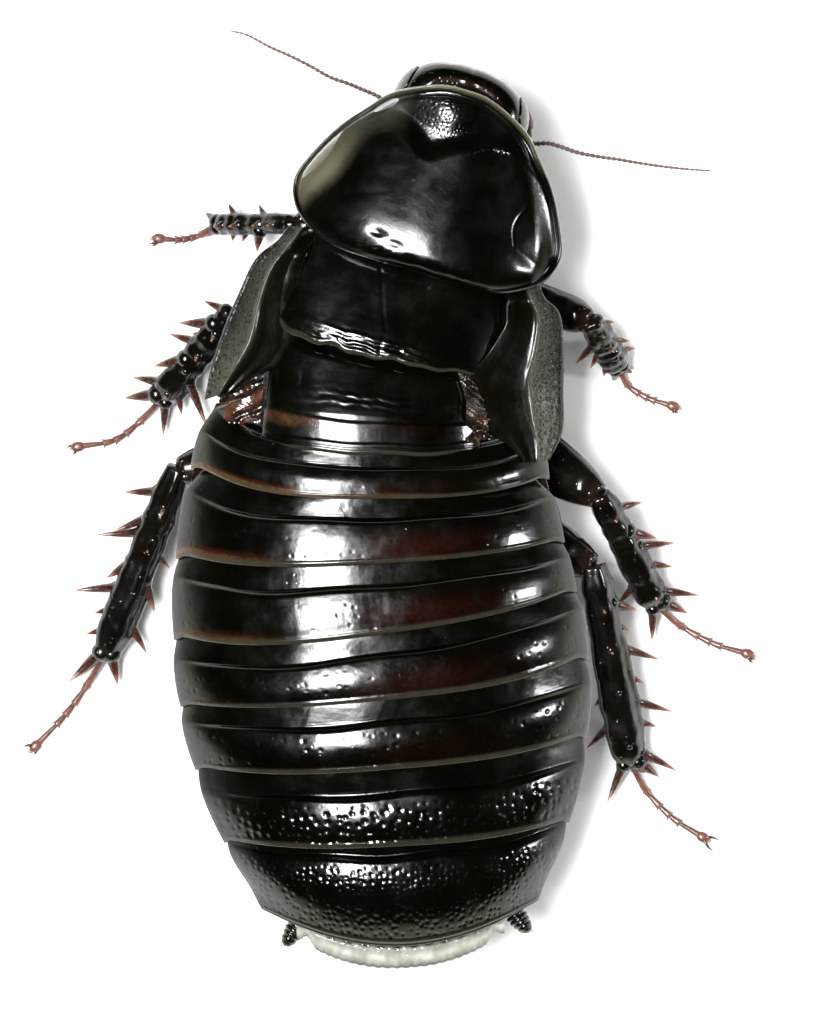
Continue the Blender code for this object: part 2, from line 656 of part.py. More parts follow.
def build_sheet(name, edges, material, lift, columns=6):
    """A thin curved pad between an inner and an outer edge, bent down over the flank."""
    sheet = bmesh.new()
    rows = []
    for inner, outer in edges:
        row = []
        for k in range(columns + 1):
            x, y = Vector(inner).lerp(Vector(outer), k / columns)
            u = x - smooth(MID_LINE, y)
            keel = KEEL_RISE * math.exp(-(((k / columns - KEEL_PLACE) / KEEL_SPREAD) ** 2))
            row.append(sheet.verts.new((x, y, lift - TEGMEN_FALL * u * u + keel)))
        rows.append(row)
    for near, far in zip(rows, rows[1:]):
        for k in range(columns):
            sheet.faces.new((near[k], near[k + 1], far[k + 1], far[k]))
    bmesh.ops.triangulate(sheet, faces=sheet.faces)
    obj = mesh_object(name, sheet, material)
    if sum(face.normal.z for face in obj.data.polygons) < 0:
        obj.data.flip_normals()
    shell = obj.modifiers.new("thickness", "SOLIDIFY")
    shell.thickness = TEGMEN_THICKNESS * MM
    shell.offset = 1.0
    return obj


def build_crescent(name, sizes, material):
    """A rounded plate behind the last tergite."""
    place, bow, power = TERGITES[-1]
    low, high = sizes["heights"]
    rings = []
    count = 12
    for i in range(count + 1):
        n = 2 * i / count - 1
        u = n * sizes["half"]
        front = place - bow * abs(u / smooth(HALF_WIDTH, place - bow)) ** power + CRESCENT_GAP
        hind = max(sizes["reach"] - sizes["drop"] * abs(n) ** 2.2, front + CRESCENT_LEAST)
        thin = CRESCENT_THINNING * n * n
        rings.append([body_point(front, u, low + thin), body_point(hind, u, low + 0.3 + thin),
                      body_point(hind, u, high - 0.4 - thin), body_point(front, u, high - thin)])
    mesh_object(name, loft(rings, flat_ends=True), material)


def build_cerci(materials):
    for side, (root, tip) in CERCUS_PATHS.items():
        ends = (Vector(root), Vector(tip))
        points, radii = stations(ends, [(r, r) for r in CERCUS_RADII], (0.0, 0.5, 0.85, 1.0))
        radii[-1] = (CERCUS_TIP, CERCUS_TIP)
        cercus = loft(tube_rings(points, radii, FOOT_SIDES))
        mesh_object(f"cercus_{side}", cercus, materials["brown_cuticle"])


def build_coxa(name, sizes, material):
    root, tip = (Vector(point) for point in sizes["coxa"])
    points, radii = stations((root, tip), COXA_RADII, (0.0, 0.15, 0.5, 0.85, 1.0))
    radii[0] = tuple(0.6 * r for r in radii[0])
    mesh_object(f"coxa_{name}", loft(tube_rings(points, radii, RING_SIDES)), material)


def femur_start(sizes):
    root, tip = (Vector(point) for point in sizes["coxa"])
    ahead = (tip - root).normalized()
    return tip + Vector((ahead.x * HIP_SHIFT, ahead.y * HIP_SHIFT, -HIP_DROP))


def build_femur(name, sizes, material):
    start = femur_start(sizes)
    knee = Vector(sizes["knee"])
    ahead = (knee - start).normalized()
    end = knee - ahead * (sizes["tibia"][0][0] + GAP)
    points, radii = stations((start, end), sizes["femur"], (0.0, 0.15, 0.4, 0.6, 0.85, 1.0))
    mesh_object(f"femur_{name}", loft(tube_rings(points, radii, RING_SIDES)), material)


def build_tibia(name, sizes, material):
    knee, ankle = Vector(sizes["knee"]), Vector(sizes["ankle"])
    points, radii = stations((knee, ankle), sizes["tibia"], (0.0, 0.06, 0.4, 0.7, 0.95, 1.0))
    radii[0] = tuple(0.7 * r for r in radii[0])
    radii[-1] = tuple(0.8 * r for r in radii[-1])
    shin = mesh_object(f"tibia_{name}", loft(tube_rings(points, radii, RING_SIDES)), material)
    pieces = []
    for number, (along, tip, strong) in enumerate(SHIN_SPINES[name]):
        root = knee.lerp(ankle, along)
        point = Vector((*tip, max(root.z - SPINE_FALL, SPINE_LOWEST)))
        start = root.lerp(point, SPINE_START)
        pieces.append(spike(f"spine_{number}", start, point, (SPINE_RADII[strong], SPINE_TIP), material))
    fuse(shin, pieces)


def build_tarsus(name, sizes, material):
    """The foot: a chain of short joints, flat where it lies on the floor, a pad and two claws."""
    knee, ankle = Vector(sizes["knee"]), Vector(sizes["ankle"])
    start = ankle + (ankle - knee).normalized() * GAP
    path = [start] + [Vector((x, y, FOOT_CENTRE)) for x, y in sizes["toes"]]
    points = []
    radii = []
    for joint, (near, far) in enumerate(zip(FOOT_JOINTS, FOOT_JOINTS[1:])):
        for share, swell in FOOT_SWELL:
            points.append(along_path(path, blend(near, far, share)))
            radii.append((FOOT_RADIUS * swell, FOOT_RADIUS * swell))
    foot = mesh_object(f"tarsus_{name}", loft(tube_rings(points, radii, FOOT_SIDES, floor=0.0)), material)
    end = path[-1]
    pad = end + Vector((0.0, 0.0, FOOT_RADIUS * 0.4))
    pieces = [ball("pad", pad, (FOOT_RADIUS * 1.15, FOOT_RADIUS * 1.15, FOOT_RADIUS * 0.7), material)]
    for side, (x, y) in enumerate(sizes["claws"]):
        pieces.append(spike(f"claw_{side}", end, Vector((x, y, CLAW_TIP_HEIGHT)), CLAW_RADII, material))
    fuse(foot, pieces)


def build_legs(materials):
    for name, sizes in LEGS.items():
        build_coxa(name, sizes, materials["black_cuticle"])
        build_femur(name, sizes, materials["black_cuticle"])
        build_tibia(name, sizes, materials["black_cuticle"])
        build_tarsus(name, sizes, materials["brown_cuticle"])


def build_model():
    materials = make_materials()
    frame = build_front_frame()
    build_head(materials, frame)
    build_eyes(materials, frame)
    build_palps(materials, frame)
    build_antenna("antenna_left", ANTENNA_LEFT, materials["antenna_brown"])
    build_antenna("antenna_right", ANTENNA_RIGHT, materials["antenna_brown"])
    build_pronotum(materials, frame)
    build_prothorax(materials, frame)
    build_thorax_block("mesonotum", MESONOTUM, materials["black_cuticle"])
    build_thorax_block("metanotum", METANOTUM, materials["black_cuticle"])
    build_thorax_block("mesothorax", MESOTHORAX, materials["black_cuticle"], (0.0, 0.5, 1.0))
    build_thorax_block("metathorax", METATHORAX, materials["black_cuticle"], (0.0, 0.5, 1.0))
    build_sheet("tegmen_left", TEGMEN_LEFT, materials["black_cuticle"], TEGMEN_LIFT)
    build_sheet("tegmen_right", TEGMEN_RIGHT, materials["black_cuticle"], TEGMEN_LIFT)
    build_sheet("wing_left", WING_LEFT, materials["amber_wing"], TEGMEN_LIFT - 0.9)
    build_sheet("wing_right", WING_RIGHT, materials["amber_wing"], TEGMEN_LIFT + 0.5, 2)
    build_tergites(materials)
    build_crescent("supra_anal_plate", TAIL_PLATE, materials["black_cuticle"])
    build_crescent("subgenital_plate", VENT_PLATE, materials["black_cuticle"])
    build_cerci(materials)
    build_legs(materials)


clear_scene()
MODEL = make_collection("panesthia_cockroach")
build_model()
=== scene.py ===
"""A life-size wood cockroach of the genus Panesthia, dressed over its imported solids.

The settings are in metres. The shapes are worked out in millimetres in the frame of the solids: the head
points to -Y, the animal's left is +X, and the floor is z = 0.
"""

import json
import math

import bpy
import numpy as np
from mathutils import Matrix, Vector

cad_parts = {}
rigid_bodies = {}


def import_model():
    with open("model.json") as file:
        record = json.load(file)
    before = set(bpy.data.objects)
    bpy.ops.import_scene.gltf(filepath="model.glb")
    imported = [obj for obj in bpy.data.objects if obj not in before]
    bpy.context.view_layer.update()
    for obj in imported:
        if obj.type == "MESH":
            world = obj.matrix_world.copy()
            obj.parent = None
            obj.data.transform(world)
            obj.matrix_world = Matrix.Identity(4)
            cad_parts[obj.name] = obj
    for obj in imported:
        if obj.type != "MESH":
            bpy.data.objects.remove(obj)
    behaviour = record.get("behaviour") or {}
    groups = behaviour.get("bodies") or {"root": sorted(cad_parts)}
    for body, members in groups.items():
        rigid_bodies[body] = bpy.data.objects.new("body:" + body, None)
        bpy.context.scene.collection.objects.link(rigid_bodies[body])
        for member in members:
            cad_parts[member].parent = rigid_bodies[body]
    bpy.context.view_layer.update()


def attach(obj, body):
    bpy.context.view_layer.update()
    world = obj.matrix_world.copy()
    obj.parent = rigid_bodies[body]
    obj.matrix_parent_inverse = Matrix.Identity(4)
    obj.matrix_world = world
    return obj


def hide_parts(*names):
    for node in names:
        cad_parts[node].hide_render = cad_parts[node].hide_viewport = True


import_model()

bl_info = {
    "name": "Wood cockroach model",
    "version": (1, 0, 0),
    "blender": (4, 5, 0),
    "location": "View3D > Sidebar > Cockroach",
    "description": "Builds the detailed cuticle, legs, spines and feelers of a standing wood cockroach",
    "category": "Add Mesh",
}

MM = 0.001

# Trunk, by distance along Y: mid line, half width, and heights of top, side edge and underside
MID_LINE = ((-12.0, -1.15), (-7.0, 0.5), (-1.0, 1.05), (4.0, 0.95), (10.0, 0.25), (17.0, -0.3), (24.0, -0.55))
HALF_WIDTH = ((-6.0, 6.8), (-3.9, 8.1), (0.0, 9.2), (4.0, 9.9), (8.0, 10.25), (11.0, 10.1), (14.0, 9.5),
              (17.0, 8.5), (20.3, 6.9), (24.0, 6.6))
TOP_HEIGHT = ((-6.0, 9.5), (0.0, 10.0), (6.0, 10.3), (12.0, 10.0), (17.0, 8.9), (20.0, 7.8), (22.5, 6.5),
              (24.0, 5.6))
EDGE_HEIGHT = ((-6.0, 6.6), (0.0, 6.4), (6.0, 6.2), (12.0, 5.9), (18.0, 5.3), (24.0, 4.8))
BELLY_HEIGHT = ((-4.0, 5.3), (-1.0, 4.7), (1.0, 3.7), (6.0, 3.1), (12.0, 3.0), (18.0, 3.2), (24.0, 4.0))
DOME = (2.3, 0.8)
KEEL = (2.6, 0.7)

# Back plates of the abdomen: hind margin on the mid line, how far it runs forward at its corners, its power
METANOTUM_HIND = (-2.25, 1.6, 3)
TERGITES = ((-0.05, 1.5, 3), (3.2, 0.9, 3), (6.7, 1.15, 3), (9.95, 1.05, 3), (13.4, 0.95, 3),
            (17.25, 0.85, 3), (22.3, 2.0, 2))

# The shield and the head share a frame turned to the animal's right
FRONT_ORIGIN = (-1.05, -11.35)
FRONT_TURN = -17.0
SHIELD_EDGE = ((0.0, -9.35), (1.2, -9.25), (2.5, -8.75), (3.6, -8.1), (4.5, -7.1), (5.6, -5.75),
               (6.5, -4.1), (6.95, -2.8), (6.7, -1.7), (5.9, -0.8), (4.3, -0.05), (2.0, 0.1), (0.0, 0.05))
SHIELD_CENTRE = (0.0, -4.2)
SHIELD_TOP = 10.3
SHIELD_CEILING = 9.1
SHIELD_SIDE = 8.0
SHIELD_CROWN = 1.35
SHIELD_RIM = 0.75
# Rings of the head capsule from the crown down: height, half width, half depth and middle along Y
HEAD_RINGS = ((8.2, 0.05, 0.05, -8.2), (8.17, 1.3, 0.9, -8.2), (8.05, 2.5, 1.85, -8.2), (7.72, 3.0, 2.25, -8.2),
              (7.1, 3.25, 2.42, -8.2), (6.2, 3.35, 2.47, -8.2), (5.0, 3.1, 2.35, -8.15),
              (4.0, 2.6, 2.0, -8.0), (3.2, 2.2, 1.6, -7.8),
              (2.4, 1.8, 1.2, -7.5), (1.7, 1.2, 0.8, -7.2), (1.4, 0.4, 0.3, -7.1))

ANTENNA_LEFT = ((0.2, -20.0, 4.8), (1.05, -20.3, 5.1), (2.05, -20.7, 5.6), (3.05, -21.05, 5.9),
                (4.05, -21.6, 6.1), (5.05, -22.1, 6.1), (6.05, -22.55, 5.9), (7.3, -23.2, 5.5),
                (8.05, -23.4, 5.2))
ANTENNA_RIGHT = ((-6.98, -17.9, 4.8), (-7.9, -17.75, 5.3), (-9.45, -17.25, 5.9),
                 (-11.5, -16.9, 6.0), (-13.5, -16.6, 5.6), (-15.0, -16.45, 5.2), (-16.05, -16.4, 4.8))

# Short fore wings: inner and outer edge from root to tip, as x and y
TEGMEN_LEFT = (((4.9, -12.6), (5.6, -12.9)), ((5.35, -11.4), (6.6, -12.1)), ((5.55, -9.5), (7.6, -10.2)),
               ((5.3, -7.5), (8.5, -8.0)), ((6.4, -6.2), (9.0, -6.4)), ((7.7, -5.35), (9.3, -4.9)))
TEGMEN_RIGHT = (((-6.3, -10.15), (-7.7, -9.95)), ((-6.2, -9.6), (-8.3, -9.4)), ((-5.7, -8.2), (-8.6, -7.7)),
                ((-4.4, -6.0), (-8.6, -5.4)), ((-4.9, -3.8), (-8.5, -3.1)), ((-6.5, -1.75), (-7.9, -1.9)))
TEGMEN_LIFT = 9.45
TEGMEN_FALL = 0.026
WING_LEFT = (((6.3, -6.9), (8.6, -6.6)), ((6.4, -5.2), (9.1, -4.8)), ((6.5, -3.8), (8.1, -3.5)))
WING_RIGHT = (((-3.3, -6.3), (-4.15, -5.8)), ((-3.75, -4.8), (-4.7, -4.9)), ((-3.6, -2.9), (-5.1, -3.1)))

# Legs: places of the joints, and half widths and depths of each piece
LEGS = {
    "front_left": {
        "coxa": ((0.9, -15.8, 4.3), (-0.9, -13.1, 2.6)),
        "knee": (4.9, -13.8, 3.8), "ankle": (8.8, -13.8, 1.0),
        "toes": ((9.85, -13.2), (10.6, -13.05), (11.7, -13.1)), "claws": ((12.25, -12.9), (12.1, -12.75)),
        "femur": ((0.6, 0.6), (0.85, 0.75), (0.65, 0.6)), "tibia": ((0.5, 0.45), (0.48, 0.45)),
    },
    "front_right": {
        "coxa": ((-5.6, -14.0, 4.3), (-3.8, -11.8, 2.6)),
        "knee": (-10.05, -8.85, 3.7), "ankle": (-11.45, -6.65, 1.0),
        "toes": ((-12.05, -5.6), (-12.85, -5.1), (-14.2, -4.65)), "claws": ((-14.55, -4.3), (-14.3, -4.35)),
        "femur": ((0.6, 0.6), (0.85, 0.75), (0.75, 0.7)), "tibia": ((0.65, 0.55), (0.7, 0.6)),
    },
    "middle_left": {
        "coxa": ((3.4, -9.7, 4.3), (1.1, -6.9, 2.5)),
        "knee": (8.05, -9.25, 4.2), "ankle": (11.55, -5.05, 1.0),
        "toes": ((12.65, -3.9), (13.8, -3.0), (15.8, -2.6)), "claws": ((16.45, -2.5), (16.15, -2.25)),
        "femur": ((0.6, 0.6), (1.1, 0.8), (0.75, 0.7)), "tibia": ((0.65, 0.55), (0.75, 0.6)),
    },
    "middle_right": {
        "coxa": ((-4.0, -8.9, 4.3), (-1.8, -6.2, 2.5)),
        "knee": (-10.5, -0.05, 4.4), "ankle": (-13.35, 5.35, 1.0),
        "toes": ((-14.7, 6.5), (-16.3, 7.35), (-17.95, 7.85)), "claws": ((-18.45, 8.1), (-18.3, 8.3)),
        "femur": ((0.6, 0.6), (1.5, 0.85), (0.9, 0.75)), "tibia": ((0.7, 0.6), (0.8, 0.65)),
    },
    "hind_left": {
        "coxa": ((4.1, -5.2, 4.3), (1.7, -3.0, 2.5)),
        "knee": (10.75, -1.4, 4.4), "ankle": (14.4, 7.85, 1.05),
        "toes": ((15.4, 9.5), (16.3, 10.75), (17.95, 12.5)), "claws": ((18.55, 12.6), (18.1, 12.95)),
        "femur": ((0.6, 0.6), (1.3, 0.8), (0.85, 0.75)), "tibia": ((0.75, 0.65), (0.85, 0.7)),
    },
    "hind_right": {
        "coxa": ((-2.7, -4.3, 4.3), (-0.5, -2.4, 2.5)),
        "knee": (-10.15, 3.5, 4.3), "ankle": (-12.05, 13.35, 1.05),
        "toes": ((-13.05, 15.0), (-14.15, 16.1), (-15.7, 17.1)), "claws": ((-16.6, 17.35), (-16.35, 17.85)),
        "femur": ((0.6, 0.6), (1.3, 0.8), (0.9, 0.75)), "tibia": ((0.8, 0.65), (0.95, 0.7)),
    },
}
HIP_DROP = 1.25
HIP_SHIFT = 0.45
FOOT_CENTRE = 0.17

# Large spines of each shin: place along it, where the tip is, and whether the spine is a strong one
SHIN_SPINES = {
    "front_left": (
        (0.35, (6.65, -14.75), 0), (0.45, (6.75, -12.4), 1), (0.58, (7.5, -12.9), 0),
        (0.72, (8.2, -14.85), 0), (0.76, (8.0, -12.95), 0), (0.9, (9.1, -14.05), 0),
    ),
    "front_right": (
        (0.08, (-11.2, -8.85), 0), (0.4, (-12.0, -7.9), 0), (0.66, (-12.3, -7.55), 0),
        (0.88, (-12.15, -6.3), 1), (0.39, (-9.3, -6.75), 0), (0.5, (-10.05, -6.55), 0),
        (0.72, (-10.7, -6.15), 1),
    ),
    "middle_left": (
        (0.02, (9.4, -9.9), 0), (0.14, (10.65, -8.8), 1), (0.26, (10.0, -8.25), 0),
        (0.38, (11.15, -8.25), 0), (0.53, (11.9, -6.65), 1), (0.84, (13.05, -6.1), 0),
        (0.94, (13.45, -5.05), 1), (0.68, (9.25, -3.5), 0), (0.8, (10.55, -4.2), 0),
        (0.94, (11.5, -3.2), 0),
    ),
    "middle_right": (
        (0.15, (-12.6, 0.2), 0), (0.31, (-13.3, 2.0), 1), (0.47, (-14.25, 2.25), 0),
        (0.62, (-14.15, 3.45), 0), (0.85, (-15.5, 4.9), 0), (0.93, (-14.95, 5.8), 1),
        (0.77, (-11.4, 5.35), 0), (0.95, (-13.15, 7.2), 0),
    ),
    "hind_left": (
        (0.13, (13.45, -0.3), 0), (0.25, (14.0, 1.7), 0), (0.35, (14.8, 1.85), 0),
        (0.48, (14.3, 4.0), 1), (0.64, (16.05, 4.65), 0), (0.74, (14.95, 5.8), 0),
        (0.86, (15.35, 6.85), 0), (0.95, (16.25, 9.25), 1), (0.43, (11.15, 3.5), 0),
        (0.54, (11.9, 5.7), 1), (0.76, (12.3, 7.85), 0), (0.94, (13.8, 9.4), 1),
    ),
    "hind_right": (
        (0.18, (-12.3, 5.6), 1), (0.27, (-11.95, 6.65), 0), (0.4, (-13.45, 8.1), 0),
        (0.52, (-12.7, 9.3), 0), (0.66, (-14.15, 10.75), 0), (0.76, (-13.35, 11.5), 0),
        (0.9, (-14.4, 13.75), 0), (0.95, (-13.5, 14.05), 1), (0.6, (-10.25, 10.45), 0),
        (0.76, (-9.85, 12.6), 0), (0.95, (-10.9, 15.35), 0),
    ),
}


def smooth(stations, at):
    """Values along a smooth curve through (place, value) stations."""
    places, values = np.array(stations, float).T
    slopes = np.gradient(values, places)
    at = np.asarray(at, float)
    index = np.clip(np.searchsorted(places, at) - 1, 0, len(places) - 2)
    span = places[index + 1] - places[index]
    t = np.clip((at - places[index]) / span, 0.0, 1.0)
    start = (1 + 2 * t) * (1 - t) ** 2 * values[index] + t * (1 - t) ** 2 * span * slopes[index]
    end = t * t * (3 - 2 * t) * values[index + 1] + t * t * (t - 1) * span * slopes[index + 1]
    return start + end


def blend(low, high, t):
    return low + (high - low) * t


def ease(t):
    t = np.clip(t, 0.0, 1.0)
    return t * t * (3 - 2 * t)


def bell(x, middle, spread):
    return np.exp(-(((x - middle) / spread) ** 2))


def body_place(y, u):
    """Where a point u to the left of the mid line lies, square to it at y."""
    slope = (smooth(MID_LINE, y + 0.1) - smooth(MID_LINE, y - 0.1)) / 0.2
    length = np.sqrt(1 + slope**2)
    return smooth(MID_LINE, y) + u / length, y - u * slope / length


def lottery(a, b, seed):
    """An even random number for each pair of whole numbers, the same in every run."""
    return np.modf(np.abs(np.sin(a * 127.1 + b * 311.7 + seed * 74.7) * 43758.5453))[0]


def nearest_dot(x, y, spacing, seed):
    """The distance to the nearest of many scattered dots, and that dot's own random number."""
    x, y = np.broadcast_arrays(x, y)
    column, row = np.floor(x / spacing), np.floor(y / spacing)
    best = np.full(x.shape, 99.0)
    own = np.zeros(x.shape)
    for across in (-1, 0, 1):
        for along in (-1, 0, 1):
            a, b = column + across, row + along
            dot_x = (a + 0.5 + 0.75 * (lottery(a, b, seed) - 0.5)) * spacing
            dot_y = (b + 0.5 + 0.75 * (lottery(a, b, seed + 1) - 0.5)) * spacing
            distance = np.hypot(x - dot_x, y - dot_y)
            closer = distance < best
            best = np.where(closer, distance, best)
            own = np.where(closer, lottery(a, b, seed + 2), own)
    return best, own


def pitting(x, y, spacing, radius, depth, share, seed):
    """How far scattered round pits lower a surface; share is the part of the dots that are pits."""
    distance, own = nearest_dot(x, y, spacing, seed)
    size = radius * (0.65 + 0.7 * np.modf(own * 7.3)[0])
    return depth * (1 - ease((distance - 0.35 * size) / (0.9 * size))) * (own < share)


def ripple(x, y, seed):
    """A slow random wave between about -1 and 1, one turn in about 6 units."""
    rng = np.random.default_rng(seed)
    x, y = np.broadcast_arrays(x, y)
    total = np.zeros(x.shape)
    for turn, strength in ((1.0, 0.5), (1.9, 0.3), (3.3, 0.2)):
        angle, shift, other = rng.uniform(0, 2 * math.pi, 3)
        total = total + strength * np.sin(turn * (x * math.cos(angle) + y * math.sin(angle)) + shift)
        total = total + strength * np.sin(turn * (y * math.cos(angle) - x * math.sin(angle)) + other)
    return total / 1.4


def front_to_body(points):
    """Turns and moves points from the front frame into the body's."""
    angle = math.radians(FRONT_TURN)
    turn = np.array([[math.cos(angle), math.sin(angle), 0], [-math.sin(angle), math.cos(angle), 0], [0, 0, 1]])
    return np.asarray(points, float) @ turn + (*FRONT_ORIGIN, 0.0)


def signed_volume(points, faces):
    """The volume inside a closed shape, below zero where its faces look inwards."""
    halves = [face[:3] for face in faces] + [(face[0], *face[2:]) for face in faces if len(face) == 4]
    a, b, c = np.moveaxis((points - points.mean(axis=0))[np.array(halves)], 1, 0)
    return np.sum(a * np.cross(b, c)) / 6


class Heap:
    """Points, faces and painted values of a piece that is put together from many shapes."""

    def __init__(self):
        self.points = []
        self.faces = []
        self.kinds = []
        self.paint = {}
        self.count = 0

    def add(self, points, faces, kind=0, **paint):
        points = np.asarray(points, float).reshape(-1, 3)
        self.points.append(points)
        self.faces += [tuple(int(i) + self.count for i in face) for face in faces]
        self.kinds += [kind] * len(faces)
        for name in sorted({*self.paint, *paint}):
            rows = self.paint.setdefault(name, [np.zeros(self.count)] if self.count else [])
            rows.append(np.broadcast_to(np.asarray(paint.get(name, 0.0), float).ravel(), len(points)))
        self.count += len(points)

    def add_net(self, net, kind=0, around=True, ends="fan", **paint):
        """A net of rows; around joins its last column to the first, and fans or strips close its ends."""
        net = np.asarray(net, float)
        rows, columns = net.shape[:2]
        index = np.arange(rows * columns).reshape(rows, columns)
        right = np.roll(index, -1, axis=1)
        if not around:
            index, right = index[:, :-1], index[:, 1:]
        quads = np.stack([index[:-1], right[:-1], right[1:], index[1:]], axis=-1).reshape(-1, 4)
        faces = [tuple(face) for face in quads.tolist()]
        points = net.reshape(-1, 3)
        paint = {name: np.broadcast_to(values, (rows, columns)).ravel() for name, values in paint.items()}
        if around and ends == "strip":
            for base, flip in ((0, True), ((rows - 1) * columns, False)):
                for i in range(columns // 2 - 1):
                    face = (base + i, base + i + 1, base + columns - 2 - i, base + columns - 1 - i)
                    faces.append(face[::-1] if flip else face)
        elif around and ends == "fan":
            middles = np.array([net[0].mean(axis=0), net[-1].mean(axis=0)])
            points = np.concatenate([points, middles])
            paint = {name: np.append(values, [values[0], values[-1]]) for name, values in paint.items()}
            for end, base in enumerate((0, (rows - 1) * columns)):
                middle = rows * columns + end
                for i in range(columns):
                    pair = (base + i, base + (i + 1) % columns)
                    faces.append((middle, *pair) if end else (middle, *pair[::-1]))
        if around and signed_volume(points, faces) < 0:
            faces = [face[::-1] for face in faces]
        self.add(points, faces, kind, **paint)

    def piece(self, name, slot, materials, replaces=(), front=False):
        """Makes the object, attaches it to the root body, hides the solids it replaces, and returns it."""
        if front:
            self.points = [front_to_body(points) for points in self.points]
        mesh = bpy.data.meshes.new(name)
        mesh.from_pydata((np.concatenate(self.points) * MM).tolist(), [], self.faces)
        mesh.polygons.foreach_set("material_index", self.kinds)
        mesh.polygons.foreach_set("use_smooth", [True] * len(self.faces))
        for paint_name, rows in self.paint.items():
            mesh.attributes.new(paint_name, "FLOAT", "POINT").data.foreach_set("value", np.concatenate(rows))
        for material in materials:
            mesh.materials.append(material)
        mesh.validate()
        mesh.update()
        obj = bpy.data.objects.new(name, mesh)
        bpy.context.scene.collection.objects.link(obj)
        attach(obj, "root")
        if replaces:
            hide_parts(*replaces)
        return obj


def at_places(path, places, wanted):
    """Points of a path, whose own points are at the given places, at the wanted places."""
    return np.stack([np.interp(wanted, places, column) for column in path.T], 1)


def curve_through(points, count):
    """Even points along a smooth curve through a few given ones."""
    points = np.array(points, float)
    steps = np.concatenate([[0.0], np.cumsum(np.linalg.norm(np.diff(points, axis=0), axis=1))])
    fine = np.linspace(0, steps[-1], 20 * len(points))
    path = np.stack([smooth(np.stack([steps, column], 1), fine) for column in points.T], 1)
    lengths = np.concatenate([[0.0], np.cumsum(np.linalg.norm(np.diff(path, axis=0), axis=1))])
    even = np.linspace(0, lengths[-1], count)
    return at_places(path, lengths, even)


def unit(vectors):
    return vectors / np.maximum(np.linalg.norm(vectors, axis=-1, keepdims=True), 1e-9)


def level_across(ahead):
    """The level direction square to the way ahead, on its left seen from above."""
    return unit(np.array([-ahead[1], ahead[0], 0.0]))


def tube(path, widths, depths=None, sides=12, power=2.0, floor=None):
    """Rings along a path, each level across and deep upright; a power over 2 makes them boxier."""
    path = np.asarray(path, float)
    widths = np.broadcast_to(np.asarray(widths, float), len(path))
    depths = widths if depths is None else np.broadcast_to(np.asarray(depths, float), len(path))
    ahead = unit(np.gradient(path, axis=0))
    level = unit(np.stack([-ahead[:, 1], ahead[:, 0], np.zeros(len(path))], 1))
    up = np.cross(ahead, level)
    angles = 2 * math.pi * np.arange(sides) / sides
    cosine, sine = np.cos(angles), np.sin(angles)
    across = np.sign(cosine) * np.abs(cosine) ** (2 / power)
    upright = np.sign(sine) * np.abs(sine) ** (2 / power)
    net = path[:, None] + level[:, None] * (widths[:, None] * across)[..., None]
    net = net + up[:, None] * (depths[:, None] * upright)[..., None]
    if floor is not None:
        net[..., 2] = np.maximum(net[..., 2], floor)
    return net


def thorn(heap, root, tip, radius, bend=(0.0, 0.0, 0.0), kind=0, sides=10, **paint):
    """A curved spine with a swollen foot and a fine tip, painted with how far along it a point is."""
    root, tip = np.array(root, float), np.array(tip, float)
    t = np.array([0.0, 0.06, 0.14, 0.3, 0.5, 0.7, 0.85, 0.95, 1.0])
    path = root + (tip - root) * t[:, None] + np.array(bend) * np.sin(math.pi * t)[:, None]
    thick = radius * np.array([1.25, 1.2, 0.95, 0.85, 0.68, 0.46, 0.28, 0.14, 0.05])
    heap.add_net(tube(path, thick, sides=sides), kind, along=t[:, None], **paint)


def lump(heap, place, half, turn=None, kind=0, rows=10, columns=16, power=2.0, **paint):
    """A closed rounded lump."""
    latitude = np.linspace(-math.pi / 2, math.pi / 2, rows + 2)[1:-1]
    angle = 2 * math.pi * np.arange(columns) / columns
    sharp = 2 / power
    ring = np.cos(latitude)[:, None]
    net = np.stack([
        ring * np.sign(np.cos(angle)) * np.abs(np.cos(angle)) ** sharp,
        ring * np.sign(np.sin(angle)) * np.abs(np.sin(angle)) ** sharp,
        np.broadcast_to(np.sin(latitude)[:, None], (rows, columns)),
    ], -1) * np.array(half)
    if turn is not None:
        net = net @ np.array(turn.to_3x3()).T
    heap.add_net(net + np.array(place, float), kind, **paint)


def turned(x=0.0, y=0.0, z=0.0):
    """A turn by degrees about X, then Y, then Z."""
    about = ((z, "Z"), (y, "Y"), (x, "X"))
    turn = Matrix.Identity(4)
    for degrees, axis in about:
        turn = turn @ Matrix.Rotation(math.radians(degrees), 4, axis)
    return turn


